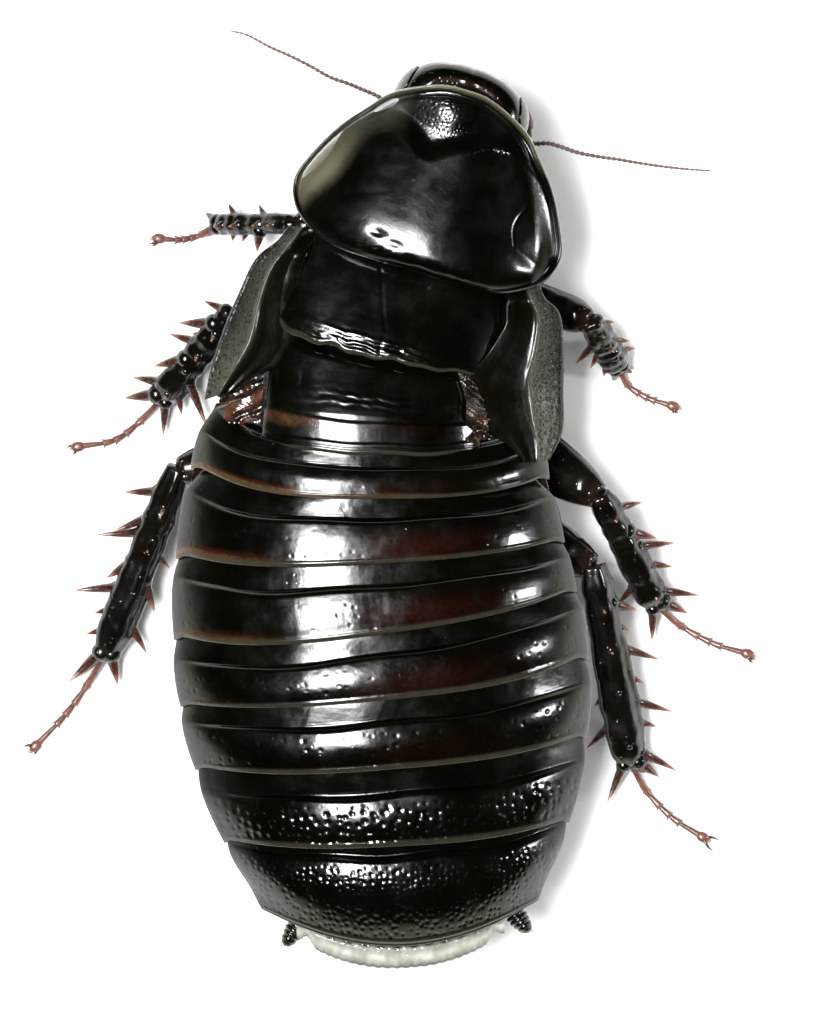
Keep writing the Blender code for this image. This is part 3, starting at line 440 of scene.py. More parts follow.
def plate_loops(front, hind, half, top, edge, relief, samples, thickness, columns, hidden=0.2):
    """Closed loops across a back plate: along its top, round its hind lip and back underneath.

    front and hind give the margins for n, from -1 at the right edge to 1 at the left one; t runs from the
    front margin, 0, to the hind one, 1, and below 0 the plate lies under the one before it.
    """
    n = np.sin(np.linspace(-1, 1, columns) * math.pi / 2)[:, None]
    t_top = np.linspace(-hidden, 1.0, samples)[None]
    t_under = np.linspace(1.0, -hidden, 9)[None]
    rise = (1 - np.abs(n) ** DOME[0]) ** DOME[1]

    def surface(t, carved):
        y = blend(front(n), hind(n), t)
        side = edge(y)
        z = side + (top(y) - side) * rise
        return y, n * half(y, t), z + relief(n, t, y, carved)

    thick = thickness * (1 - 0.45 * np.abs(n) ** 6)
    y, u, z = surface(t_top, True)
    end_y, end_u, end_z = (values[:, -1:] for values in (y, u, z))
    angle = np.radians([25.0, 55.0, 90.0, 125.0, 155.0])[None]
    lip_y = end_y + 0.5 * thick * np.sin(angle)
    lip_z = end_z - 0.5 * thick * (1 - np.cos(angle))
    lip_u = np.broadcast_to(end_u, lip_y.shape)
    under_y, under_u, under_z = surface(t_under, False)
    under_z = under_z - thick
    all_y, all_u = np.hstack([y, lip_y, under_y]), np.hstack([u, lip_u, under_u])
    all_z = np.hstack([z, lip_z, under_z])
    x, y = body_place(all_y, all_u)
    t_all = np.concatenate([t_top[0], np.full(5, 1.02), t_under[0]])
    on_top = np.concatenate([np.ones(samples + 5), np.zeros(9)])
    return np.stack([x, y, all_z], -1), n, t_all[None], on_top[None]


def hind_tooth(n):
    """The small backward point of a plate's hind corners."""
    return 0.28 * bell(np.abs(n), 1.0, 0.035)


# Pits of each back plate: spacing, radius, depth, and the share of the places that have one
TERGITE_PITS = {
    1: (0.7, 0.06, 0.01, 0.2), 2: (0.6, 0.065, 0.014, 0.35), 3: (0.55, 0.07, 0.016, 0.4),
    4: (0.5, 0.08, 0.018, 0.45), 5: (0.5, 0.10, 0.022, 0.55), 6: (0.44, 0.13, 0.042, 0.9),
    7: (0.3, 0.09, 0.03, 0.9),
}
# Where the amber margin starts and is full, from the right edge, -1, to the left, 1, and its strength
AMBER_REACH = {1: (-0.5, 0.3, 1.0), 2: (0.3, 0.8, 0.8), 3: (0.35, 0.85, 0.6), 4: (0.6, 1.1, 0.25)}
WARM_PATCH = {1: 0.15, 2: 0.6, 3: 0.5, 4: 0.35, 5: 0.1}


def build_back_plate(number, shape, materials):
    """One back plate, with its furrow, pitted field, raised hind lip and corner points."""
    before = METANOTUM_HIND if number == 1 else TERGITES[number - 2]
    place, bow, power = TERGITES[number - 1]
    spacing, radius, depth, share = TERGITE_PITS[number]
    radius, depth = radius * shape.pit_size, depth * shape.pit_size

    def front(n):
        return before[0] - before[1] * np.abs(n) ** before[2]

    def hind(n):
        return place - bow * np.abs(n) ** power + (hind_tooth(n) if number < 7 else 0.0)

    def half(y, t):
        bulge = 0.22 * np.sin(2.5 * np.clip(t, 0, 1) ** 0.7) - 0.1
        shoulder = (0.7 if number == 2 else 0.12) * (1 - ease(t / 0.4))
        return smooth(HALF_WIDTH, y) + bulge - shoulder - 0.25 * ease(-t / 0.2)

    def top(y):
        return smooth(TOP_HEIGHT, y)

    def edge(y):
        return smooth(EDGE_HEIGHT, y) + 0.25

    def relief(n, t, y, carved):
        inner = 1 - np.abs(n) ** 10
        last = number == 7
        furrow_place = (0.13 if last else 0.36) + 0.015 * np.sin(9 * n + number)
        drop = 0.3 * (1 - ease((t - furrow_place + 0.08) / 0.14)) * inner
        furrow = 0.07 * bell(t, furrow_place - 0.035, 0.018) * inner
        start = 0.13 if last else 0.4
        rise = {1: 0.08, 2: 0.055, 3: 0.07, 4: 0.13, 5: 0.15, 6: 0.12, 7: 0.5}[number]
        swell = rise * np.sin(math.pi * np.clip((t - start) / (1 - start), 0, 1)) * inner
        swell = swell + (0.42 * (np.clip(t, 0.3, 1) - 0.65) * inner if number == 6 else 0.0)
        tuck = 0.38 * ease(-t / 0.12)
        height = swell - drop - furrow - tuck
        if not carved:
            return height
        x, along = np.broadcast_arrays(n * smooth(HALF_WIDTH, y), y)
        field = ease((t - (0.14 if last else 0.42)) / 0.15) * ease((0.965 - t) / 0.03)
        pits = pitting(x, along, spacing, radius, depth, share, 11 * number)
        small = pitting(x, along, 0.4, 0.04, 0.004 + 0.001 * number, 0.15, 11 * number + 5)
        ridge = 0.045 * bell(t, 0.975, 0.018)
        wave = 0.018 * ripple(0.8 * x, 1.2 * along, number) + 0.003 * ripple(5 * x, 7 * along, number + 30)
        return height - (pits + small) * field + ridge + wave * ease(t / 0.1)

    samples = 86 if number == 7 else 62
    net, n, t, on_top = plate_loops(front, hind, half, top, edge, relief, samples, 0.2, 340)
    low, high, strength = AMBER_REACH.get(number, (2.0, 3.0, 0.0))
    lip = ease((t - 0.93) / 0.05) * on_top
    reach = strength * ease((n - low) / (high - low)) * on_top
    streaks = 0.72 + 0.28 * ripple(14 * n, 9 * t, number + 60)
    amber = reach * ease((t - 0.885) / 0.05) * streaks
    warm = WARM_PATCH.get(number, 0.0) * bell(n, -0.17, 0.33) * bell(t, 0.8, 0.2) * on_top
    warm = np.maximum(warm, 0.9 * reach * bell(t, 0.88, 0.025))
    heap = Heap()
    dull = (0.45 + 0.5 * (number > 5)) * ease((np.abs(n) - 0.74) / 0.24) * on_top
    heap.add_net(net, lip=lip, amber=amber, warm=warm, dull=dull)
    heap.piece(f"back_plate_{number}", "abdomen_black", [materials["abdomen"]], (f"abdomen_{number}",))


def build_tergites(shape, materials):
    """The seven overlapping back plates of the abdomen."""
    for number in range(1, 8):
        build_back_plate(number, shape, materials)


def build_sternites(shape, materials):
    """The plates of the belly, which overlap backwards and shine brown-black."""
    heap = Heap()
    n = np.sin(np.linspace(-1, 1, 120) * math.pi / 2)[:, None]
    t = np.linspace(-0.15, 1.0, 26)[None]
    fall = (1 - np.abs(n) ** KEEL[0]) ** KEEL[1]
    for number in range(1, 8):
        before = METANOTUM_HIND if number == 1 else TERGITES[number - 2]
        here = TERGITES[number - 1]
        front = before[0] - before[1] * np.abs(n) ** before[2]
        hind = here[0] - here[1] * np.abs(n) ** here[2] - 0.15
        y = blend(front, hind, t)
        side = smooth(EDGE_HEIGHT, y) - 0.1
        u = n * (smooth(HALF_WIDTH, y) - 0.14)
        swell = 0.12 * np.sin(math.pi * np.clip((t - 0.1) / 0.9, 0, 1)) - 0.2 * ease(-t / 0.1)
        low = side - (side - smooth(BELLY_HEIGHT, y)) * fall - swell * fall
        low = low + pitting(u, y, 0.5, 0.09, 0.03, 0.5, 90 + number) * ease((t - 0.1) / 0.1)
        x, along = body_place(y, u)
        outer = np.stack([x, along, low], -1)
        inner = np.stack([x, along, low + 0.16 * (1 - 0.6 * np.abs(n) ** 8)], -1)
        lip = np.broadcast_to(ease((t - 0.93) / 0.05), low.shape)
        loops = np.concatenate([outer, inner[:, ::-4]], axis=1)
        paint = np.concatenate([lip, np.zeros((len(lip), inner[:, ::-4].shape[1]))], axis=1)
        heap.add_net(loops, lip=paint)
    heap.piece("belly_plates", "abdomen_black", [materials["belly"]])


MEMBRANE = ((-14.6, 2.2, 7.0, 6.3, 5.5), (-13.2, 2.9, 7.2, 6.4, 5.3), (-11.0, 4.3, 7.4, 6.5, 5.1),
            (-8.0, 5.2, 8.2, 6.8, 4.95), (-5.0, 5.9, 8.6, 6.8, 5.0), (-2.5, 6.9, 9.0, 6.6, 4.9),
            (0.0, 8.5, 9.15, 6.4, 4.7), (4.0, 9.3, 9.35, 6.2, 3.8), (8.0, 9.6, 9.4, 6.1, 3.55),
            (12.0, 9.2, 9.05, 5.9, 3.5), (16.0, 8.1, 8.2, 5.5, 3.65), (20.0, 6.2, 6.8, 5.1, 4.1),
            (22.4, 4.3, 5.7, 4.9, 4.4))


def build_membrane(shape, materials):
    """One soft skin from the neck to the tail, which shows only where the plates part."""
    stations = np.array(MEMBRANE)
    y = np.linspace(stations[0, 0], stations[-1, 0], 200)[:, None]
    half, top, edge, base = (smooth(stations[:, (0, column)], y) for column in (1, 2, 3, 4))
    angle = np.linspace(0, 2 * math.pi, 96, endpoint=False)[None]
    n = np.cos(angle)
    upper = edge + (top - edge) * (1 - np.abs(n) ** DOME[0]) ** DOME[1]
    lower = edge - (edge - base) * (1 - np.abs(n) ** KEEL[0]) ** KEEL[1]
    z = np.where(np.sin(angle) >= 0, upper, lower)
    folds = 0.04 * np.sin(2 * math.pi * y / 0.45) + 0.03 * ripple(2 * n * half, 2 * y + z, 5)
    x, along = body_place(y, n * (half - 0.05 + folds))
    heap = Heap()
    heap.add_net(np.stack([x, along, z + 0.5 * folds], -1))
    heap.piece("soft_skin", "underside_brown", [materials["membrane"]], ("mesothorax", "metathorax"))


def notum_wrinkles(x, y, hind):
    """Fine cross wrinkles in the middle, just before a plate's hind margin."""
    fade = bell(x, 0.0, 3.2) * bell(y, hind - 0.35, 0.4)
    patches = np.abs(np.sin(2 * x + 3 * ripple(2 * x, 5 * y, 3)))
    return 0.05 * fade * patches * np.sin(16 * y + 2 * ripple(3 * x, 3 * y, 4))


def build_notum(name, margins, bows, widths, tops, edges, samples, materials):
    """One back plate of the thorax, with its sutures, wrinkles or red-brown band."""
    middle_plate = name == "mesonotum"

    def front(n):
        return margins[0] - bows[0] * np.abs(n) ** 3

    def hind(n):
        wave = 0.06 * np.sin(11 * n) + 0.05 * np.sin(23 * n + 1) if middle_plate else 0.04 * np.sin(9 * n)
        return margins[1] - bows[1] * np.abs(n) ** 3 + wave

    def share(y):
        return (y - margins[0]) / (margins[1] - margins[0])

    def half(y, t):
        return blend(*widths, t) + 0.1

    def top(y):
        return blend(*tops, np.clip(share(y) / (0.86 if middle_plate else 0.62), -0.2, 1))

    def edge(y):
        return blend(*edges, np.clip(share(y) / 0.86, -0.2, 1))

    def relief(n, t, y, carved):
        inner = 1 - np.abs(n) ** 8
        tuck = 0.0 if middle_plate else 0.35 * ease(-t / 0.1) + 0.2 * (1 - ease(t / 0.14))
        height = 0.06 * np.sin(math.pi * np.clip(t, 0, 1)) * inner - tuck
        if not carved:
            return height
        x, along = np.broadcast_arrays(5.4 * n, y)
        if middle_plate:
            arms = bell(np.abs(x - 0.1) - 0.45 * (margins[1] - 1.2 - along), 0.0, 0.07)
            sutures = 0.02 * arms * ease((along + 11.6) / 1.0) * ease((margins[1] - 1.0 - along) / 0.5)
            seam = 0.015 * bell(x, 0.1, 0.05) * ease((t - 0.55) / 0.2)
            height = height - sutures - seam + notum_wrinkles(x, along, margins[1])
        else:
            brow = 0.12 * ease((t - 0.66) / 0.05) * (1 - ease((t - 0.92) / 0.05))
            height = height + 0.5 * brow - 0.05 * bell(t, 0.92, 0.015)
            height = height + 0.4 * notum_wrinkles(x, along, -4.4)
        pits = pitting(x, along, 0.8, 0.05, 0.006, 0.3, 40)
        ridge = 0.05 * bell(t, 0.985, 0.012)
        wave = 0.02 * ripple(0.8 * x, 0.9 * along, 61) + 0.003 * ripple(4 * x, 5 * along, 62)
        return height + ridge + (wave - pits * ease((t - 0.1) / 0.1) * ease((0.96 - t) / 0.03))

    hidden = 0.0 if middle_plate else 0.12
    net, n, t, on_top = plate_loops(front, hind, half, top, edge, relief, samples, 0.24, 210, hidden)
    band = 0.0 if middle_plate else ease((t - 0.67) / 0.04) * (1 - ease((t - 0.77) / 0.06))
    band = band * (0.55 + 0.45 * ripple(12 * n, 14 * t, 63))
    amber = band * 0.5 * ease((n - 0.15) / 0.7) * on_top
    heap = Heap()
    worn = 0.0 if middle_plate else 0.9 * ease((np.abs(n) - 0.72) / 0.15) * on_top
    heap.add_net(net, lip=ease((t - 0.97) / 0.02) * on_top, amber=amber,
                 warm=0.6 * band * bell(n, 0.25, 0.6), dull=worn)
    heap.piece(name + "_plate", "back_black", [materials["back"]], (name,))


def build_nota(shape, materials):
    """The plates of the middle and hind thorax, with their sutures, wrinkles and red-brown band."""
    plates = (
        ("mesonotum", (-12.2, -7.0), (0.5, 0.5), (5.4, 5.6), (8.35, 9.4), (7.65, 8.2), 96),
        ("metanotum", (-6.95, -2.25), (0.5, 0.4), (5.2, 5.35), (9.0, 9.65), (8.1, 8.25), 84),
    )
    for plate in plates:
        build_notum(*plate, materials)


def shield_outline(samples):
    """The shield's closed outline, one half mirrored, in the front frame."""
    half = np.array(SHIELD_EDGE)
    other = half[-2:0:-1] * (-1, 1)
    loop = np.concatenate([half, other])
    place = len(loop) * np.arange(samples) / samples
    k = place.astype(int)
    t = (place - k)[:, None]
    a, b, c, d = (loop[(k + step) % len(loop)] for step in (-1, 0, 1, 2))
    bend = (2 * a - 5 * b + 4 * c - d) * t**2 + (3 * b - a - 3 * c + d) * t**3
    return 0.5 * (2 * b + (c - a) * t + bend)


# Front edge of the shield's raised disc, from the left hind corner to the right one, in the front frame
DISC_EDGE = ((7.6, 1.6), (6.5, -0.1), (5.8, -1.8), (4.85, -3.3), (4.5, -4.2), (4.3, -5.1), (3.85, -5.85),
             (2.95, -6.35), (2.2, -6.0), (1.55, -5.45), (0.7, -5.35), (-0.2, -5.85), (-1.1, -6.4),
             (-2.0, -6.85), (-2.75, -6.95), (-3.6, -6.6), (-4.3, -5.6), (-4.95, -4.3), (-5.5, -2.9),
             (-5.75, -1.6), (-6.1, 1.6))


def disc_distance(x, y):
    """Distance to the front edge of the shield's raised disc, negative on the disc."""
    edge = curve_through(DISC_EDGE, 90)
    nearest = np.full(x.shape, 1e9)
    inside = np.zeros(x.shape, bool)
    for (ax, ay), (bx, by) in zip(edge, np.roll(edge, -1, axis=0)):
        if ay > 1.5 and by > 1.5:
            continue
        share = np.clip(((x - ax) * (bx - ax) + (y - ay) * (by - ay)) / ((bx - ax) ** 2 + (by - ay) ** 2), 0, 1)
        nearest = np.minimum(nearest, np.hypot(x - ax - share * (bx - ax), y - ay - share * (by - ay)))
        crosses = (ax > x) != (bx > x)
        inside ^= crosses & (y > ay + (by - ay) * (x - ax) / (bx - ax if bx != ax else 1e-9))
    return np.where(inside, -nearest, nearest)


def shield_height(x, y):
    """The shield's broad form: level near its hind margin, falling to the front and to both sides."""
    behind = y + 1.7 - 2.2 * ease((-x - 0.8) / 4.5)
    fall = 0.13 * 0.5 * (np.sqrt(behind**2 + 0.5) - behind)
    lean = 0.04 * (1.5 - y) * ease((-x - 0.5) / 4.5)
    return SHIELD_TOP + 0.05 - fall - lean - 0.027 * (x + 1.2) ** 2


def shield_relief(x, y, r, ahead):
    """Disc, knobs, boss, flange and rim, then the finer dents, pits and scratch of the shield."""
    distance = disc_distance(x, y)
    left = ease((x - 2.0) / 2.0)
    right = ease((-x - 3.6) / 1.2)
    step = -(0.25 + 0.23 * left) * ease(distance / (1.15 + 0.45 * left))
    beads = 0.09 * (0.5 + 0.5 * np.cos(13 * x + 2 * np.sin(5 * x))) * bell(x, -2.3, 0.9)
    border = bell(distance, 0.0, 0.13) * beads
    boss = 0.27 * bell(x, 0.4, 1.3) * bell(y, -8.05, 1.0)
    dents = 0.06 * bell(x, 2.15, 0.4) * bell(y, -1.25, 0.2) + 0.055 * bell(x, 1.2, 0.5) * bell(y, -0.95, 0.2)
    scratch = 0.03 * bell(x + 4.4 + 0.18 * np.sin(2.2 * y), 0.0, 0.045) * bell(y, -3.6, 1.0)
    coarse = pitting(x, y, 0.21, 0.045, 0.026, 0.9, 71) * bell(x, 0.45, 1.5) * bell(y, -7.8, 1.1)
    fine = pitting(x, y, 0.9, 0.04, 0.006, 0.2, 74)
    wave = 0.022 * ripple(0.6 * x, 0.6 * y, 81) + 0.0025 * ripple(3 * x, 3 * y, 82)
    crinkle = 0.02 * np.sin(14 * x + 3 * np.sin(9 * x)) * bell(y, -0.42, 0.2) * ease((3.6 - np.abs(x)) / 0.6)
    side_rim = 0.12 * right * ease((r - 0.955) / 0.02) + 0.05 * left * ease((r - 0.965) / 0.015)
    rim = 0.26 * ahead * ease((r - 0.945) / 0.03) - 0.08 * ahead * bell(r, 0.92, 0.03) + side_rim
    body = step + border + boss - dents - scratch + crinkle + wave - coarse - fine
    return body * ease((0.985 - r) / 0.04) + rim


def build_shield(shape, materials):
    """The domed shield of the front, with a thick rounded rim, its front lip and left flange painted pale as a
    painted reflection.
    """
    outline = shield_outline(420)
    centre = np.array(SHIELD_CENTRE)
    crown = SHIELD_SIDE + SHIELD_CROWN * (1 - (outline[:, 0] / 7.0) ** 2)
    ahead = ease((-outline[:, 1] - 6.0) / 2.5)[None]
    r = np.concatenate([np.linspace(0.02, 0.8, 92), np.linspace(0.81, 0.985, 34)])[:, None]
    flat = centre + (outline - centre) * r[..., None]
    border = crown + (0.35 - 0.25 * ease((outline[:, 0] - 2.0) / 3.0)) * SHIELD_RIM
    swell = shield_height(flat[..., 0], flat[..., 1]) - border
    fullness = 5 + 6 * ease((outline[:, 1] + 1.8) / 1.5)
    z = border + np.where(swell > 0, swell, 0.3 * swell) * (1 - r**fullness)
    z = z + shield_relief(flat[..., 0], flat[..., 1], r, ahead)
    angle = np.radians(np.linspace(20, 160, 9))[:, None]
    rim_r = 0.985 + 0.015 * np.sin(angle)
    rim_flat = centre + (outline - centre) * rim_r[..., None]
    upper, lower = z[-1], crown - 0.5 * SHIELD_RIM + 0.1
    rim_z = 0.5 * (upper + lower) + 0.5 * (upper - lower) * np.cos(angle)
    r_under = np.array([0.97, 0.9, 0.75, 0.55, 0.3, 0.05])[:, None]
    under_flat = centre + (outline - centre) * r_under[..., None]
    under_z = crown - 0.5 * SHIELD_RIM + (SHIELD_CEILING - crown + 0.5 * SHIELD_RIM) * (1 - r_under**2)
    whole = np.concatenate([flat, rim_flat, under_flat])
    net = np.concatenate([whole, np.concatenate([z, rim_z, under_z])[..., None]], -1)
    r_all = np.concatenate([r[:, 0], rim_r[:, 0], np.zeros(6)])[:, None]
    # Painted reflection: the flange on the left is painted pale olive grey, brightest halfway along it, and is
    # also made rougher and dustier
    flange = ease((disc_distance(whole[..., 0], whole[..., 1]) + 0.25) / 1.1)
    flange = flange * ease((whole[..., 0] - 2.0) / 1.5) * ease((0.975 - r_all) / 0.02)
    upper_side = (np.arange(len(r_all)) < len(r) + 3)[:, None]
    pale = (0.14 + 0.72 * bell(whole[..., 1], -3.0, 2.4)) * flange
    # The front lip gets the same painted reflection, and both go into the lip mask
    lip = np.maximum(ease((r_all - 0.945) / 0.02) * ahead * upper_side, pale)
    heap = Heap()
    heap.add_net(net, lip=lip, dull=flange)
    heap.piece("shield", "shield_black", [materials["shield"]], ("pronotum",), front=True)


TEGMEN_ROWS = 150
TEGMEN_COLUMNS = 72


def build_tegmen(name, root, edges, overlap, slopes, seed, materials):
    """A short leathery fore wing: a punctured outer field, a long keel with a painted sheen along it, and a
    darker inner field.
    """
    s = np.linspace(0, 1, TEGMEN_ROWS)[:, None]
    k = np.linspace(0, 1, TEGMEN_COLUMNS)[None]
    edges = (root, *edges)
    inner = curve_through([pair[0] for pair in edges], TEGMEN_ROWS)
    outer = curve_through([pair[1] for pair in edges], TEGMEN_ROWS)
    inward = unit(inner - outer)
    inner = inner + inward * overlap * ease((1 - s) / 0.45)
    ragged = 0.12 * ripple(9 * s, 0.0, seed) * ease((s - 0.1) / 0.2)
    flat = inner[:, None] + (outer - inner)[:, None] * (k + ragged * (1 - k) ** 3)[..., None]
    x, y = flat[..., 0], flat[..., 1]
    u = x - smooth(MID_LINE, y)
    keel_place = 0.56 + 0.08 * np.sin(math.pi * s)
    keel = 0.08 * bell(k, keel_place, 0.04) * ease(s / 0.12) * (0.35 + 0.65 * ease((1 - s) / 0.25))
    trough = 0.03 * bell(k, keel_place - 0.2, 0.14) + 0.05 * bell(k, keel_place + 0.16, 0.1)
    outer_rim = 0.07 * ease((k - 0.94) / 0.04)
    veins = 0.012 * np.abs(np.sin(4 * math.pi * (k - keel_place) + 3 * s)) * (k < keel_place - 0.05)
    pits = pitting(x, y, 0.27, 0.055, 0.03, 0.85, seed + 3) + pitting(x, y, 0.19, 0.035, 0.01, 0.5, seed + 6)
    pits = pits * ease((k - keel_place) / 0.06)
    crumple = 0.02 * ripple(1.0 * x, 1.0 * y, seed + 9)
    at_keel = np.abs(blend(u[:, :1], u[:, -1:], keel_place))
    out = np.abs(u) - at_keel
    base = TEGMEN_LIFT - TEGMEN_FALL * at_keel**2 - np.where(out < 0, slopes[0], slopes[1]) * out
    base = base - 0.9 * (1 - ease(s / 0.16))
    pits = pits * ease((0.94 - k) / 0.03) * ease((k - 0.03) / 0.05)
    relief = keel - trough + outer_rim + veins + crumple - pits
    z = base + 0.42 + relief * ease((1.02 - s) / 0.06)
    rounded = 0.2 * (1 - ease(k / 0.04)) + 0.12 * ease((k - 0.965) / 0.035)
    upper = np.stack([x, y, z - rounded], -1)
    k_under = slice(None, None, -6)
    lower = np.stack([x, y, base + 0.14 + 0.4 * (keel + crumple)], -1)[:, k_under]
    loops = np.concatenate([upper, lower], axis=1)
    spare = np.zeros((TEGMEN_ROWS, lower.shape[1]))
    outside = np.concatenate([ease((k - keel_place) / 0.06), spare], axis=1)
    # Painted sheen: a pale band along the keel and over the lower outer field, laid in the ridge mask
    sheen = 0.4 * bell(k, keel_place + 0.01, 0.035) + 0.2 * bell(k, keel_place + 0.1, 0.12)
    sheen = sheen + 0.3 * ease((k - keel_place) / 0.08) * ease((s - 0.5) / 0.35) * ease((0.98 - k) / 0.1)
    ridge = np.concatenate([sheen, spare], axis=1)
    heap = Heap()
    heap.add_net(loops, outside=outside, ridge=ridge)
    heap.piece(f"{name}_pad", "wing_pad_grey", [materials["wing_pad"]], (name,))


def build_torn_wing(name, edges, lift, glow, seed, materials):
    """The crumpled rest of a hind wing, torn along its outer and hind edges, painted light along its fold crest
    and dark elsewhere.
    """
    rows, columns = 110, 70
    inner = curve_through([pair[0] for pair in edges], rows)
    outer = curve_through([pair[1] for pair in edges], rows)
    s = np.linspace(0, 1, rows)[:, None]
    k = np.linspace(0, 1, columns)[None]
    torn = 1 - 0.22 * np.abs(ripple(14 * s, 0.0, seed)) - 0.1 * np.abs(ripple(40 * s, 0.0, seed + 1))
    flat = inner[:, None] + (outer - inner)[:, None] * (k * torn)[..., None]
    x, y = flat[..., 0], flat[..., 1]
    hem = 0.25 * ease((s - 0.7) / 0.3) * ripple(6 * k, 2 * k, seed + 2)
    y = y + hem
    u = x - smooth(MID_LINE, y)
    streak = s - 0.56 - 0.2 * k
    veins = 0.05 * bell(np.modf(7 * streak + 7)[0], 0.5, 0.2)
    cross = 0.008 * bell(np.modf(9 * k + 1.3 * s + ripple(2 * x, 2 * y, seed))[0], 0.5, 0.2)
    folds = 0.22 * bell(streak, 0, 0.13) - 0.15 * bell(streak, 0.26, 0.1)
    folds = folds + 0.1 * ripple(2.2 * x, 2.2 * y, seed + 3)
    z = lift + 0.3 - TEGMEN_FALL * u * u + folds + veins + cross
    upper = np.stack([x, y, z], -1)
    lower = np.stack([x, y, z - 0.05 - veins], -1)[:, ::-3]
    # Partly the membrane's own tone and partly painted light: a light streak on the crest of the main fold, and
    # painted shade elsewhere; glow sets the streak's strength
    light = bell(streak, 0.02, 0.1) + 0.4 * bell(streak, 0.3, 0.05)
    light = light + 0.3 * np.abs(ripple(3 * x, 3 * y, seed + 5))
    dark = np.clip(1.05 - glow * light - 3 * cross, 0, 1)
    vein = np.concatenate([dark, np.zeros((rows, lower.shape[1]))], axis=1)
    heap = Heap()
    heap.add_net(np.concatenate([upper, lower], axis=1), vein=vein)
    heap.piece(f"{name}_torn", "wing_amber", [materials["wing"]], (name,))


def build_tail_plate(name, slot, look, wide, reach, drop, high, low, lobe, materials):
    """One tail plate from its half width, hind end, bow, heights and the size of its corner lobes."""
    place, bow, power = TERGITES[-1]
    n = np.sin(np.linspace(-1, 1, 260) * math.pi / 2)[:, None]
    u = n * wide
    front = place - bow * np.abs(u / smooth(HALF_WIDTH, place - bow)) ** power - 0.6
    teeth = 0.05 * np.abs(np.sin(34 * np.arcsin(np.clip(n, -1, 1)))) * (lobe > 0.3)
    hind = reach - drop * np.abs(n) ** 2.2 + teeth
    hind = np.maximum(hind, front + 1.0) - lobe * bell(np.abs(n), 0.9, 0.05)
    t = np.linspace(0, 1, 40)[None]
    t_back = t[:, ::-4]
    y = blend(front, hind, t)
    slope = high - (high - 0.5 * (high + low)) * t**1.6
    swell = 0.12 * np.sin(math.pi * t) - 0.25 * n**4 - 0.35 * (1 - ease(t / 0.3))
    pits = pitting(u, y, 0.36, 0.13, 0.06, 0.9, 131) * ease((0.5 - t) / 0.06)
    rim = 0.06 * ease((t - 0.5) / 0.2) - 0.03 * bell(t, 0.45, 0.05)
    z = slope + swell - pits * (lobe > 0.3) + rim * (lobe > 0.3) - 0.08 * ease((t - 0.96) / 0.04)
    under = 0.5 * (slope + low) - 0.22
    under = np.minimum(under, z - 0.12)[:, ::-4]
    x, along = body_place(np.hstack([y, y[:, ::-4]]), np.broadcast_to(u, (260, 40 + t_back.shape[1])))
    loops = np.stack([x, along, np.hstack([z, under])], -1)
    spare = np.zeros((260, t_back.shape[1]))
    # The rim is painted pale: partly its own pale colour, partly a painted reflection, brightest in its middle
    # and darker at its very edge
    pale = ease((t - 0.36 - 0.03 * np.sin(40 * n)) / 0.12) * (1 - 0.7 * ease((t - 0.9) / 0.06))
    pale = pale * (0.5 + 0.5 * bell(t, 0.72, 0.13)) * (0.85 + 0.15 * ripple(30 * n, 9 * t, 140))
    paint = np.hstack([np.broadcast_to(pale, z.shape), spare])
    heap = Heap()
    heap.add_net(loops, rim=paint, dull=0.4 * paint)
    heap.piece(name + "_rimmed", slot, [materials[look]], (name,))


def build_tail_plates(shape, materials):
    """The plate over the vent, pitted and finely toothed round its pale rim, whose paint is partly its own pale
    colour and partly a painted reflection, and the smoother one below it.
    """
    plates = (
        ("supra_anal_plate", "tail_plate_black", "tail", 5.2, 23.5, 1.6, 6.05, 4.95, 0.45),
        ("subgenital_plate", "underside_brown", "belly", 4.2, 23.05, 0.7, 4.4, 3.75, 0.25),
    )
    for plate in plates:
        build_tail_plate(*plate, materials)


CERCUS_PATHS = (((4.9, 21.75, 5.0), (5.35, 22.45, 5.0)), ((-6.45, 21.15, 5.0), (-6.95, 21.75, 5.0)))


def build_cerci(shape, materials):
    """Two stubby tail feelers of a few ringed joints, with short bristles and a brown tip."""
    heap = Heap()
    for root, tip in CERCUS_PATHS:
        root, tip = np.array(root), np.array(tip)
        root = root - 0.6 * (tip - root)
        s = np.linspace(0, 1, 60)
        path = root + (tip - root) * s[:, None]
        joints = 0.9 + 0.16 * np.abs(np.sin(5 * math.pi * s)) ** 0.6
        radius = np.interp(s, [0, 0.35, 0.8, 0.93, 1.0], [0.5, 0.5, 0.34, 0.2, 0.03]) * joints
        heap.add_net(tube(path, radius, sides=24), red=ease((s - 0.75) / 0.15)[:, None])
        for number in range(14):
            at = 0.35 + 0.6 * number / 14
            angle = 2.4 * number
            middle = root + (tip - root) * at
            out = np.array([math.cos(angle), 0.3, math.sin(angle)])
            foot, tip_place = middle + 0.25 * out * (1 - 0.4 * at), middle + 0.62 * out * (1 - 0.3 * at)
            thorn(heap, foot, tip_place, 0.03, kind=1, sides=6)
    looks = [materials["leg"], materials["spine"]]
    heap.piece("tail_feelers", "leg_brown", looks, ("cercus_left", "cercus_right"))


# Swellings and hollows of the face: height, distance off the middle, its spread, height on the head, its spread
FACE_RELIEF = ((0.16, 0.0, 1.3, 4.3, 0.55), (0.14, 2.35, 0.5, 5.2, 0.5), (-0.12, 2.35, 0.25, 5.2, 0.25),
               (-0.07, 1.15, 0.35, 6.6, 0.7), (-0.05, 0.0, 0.9, 5.6, 0.35))


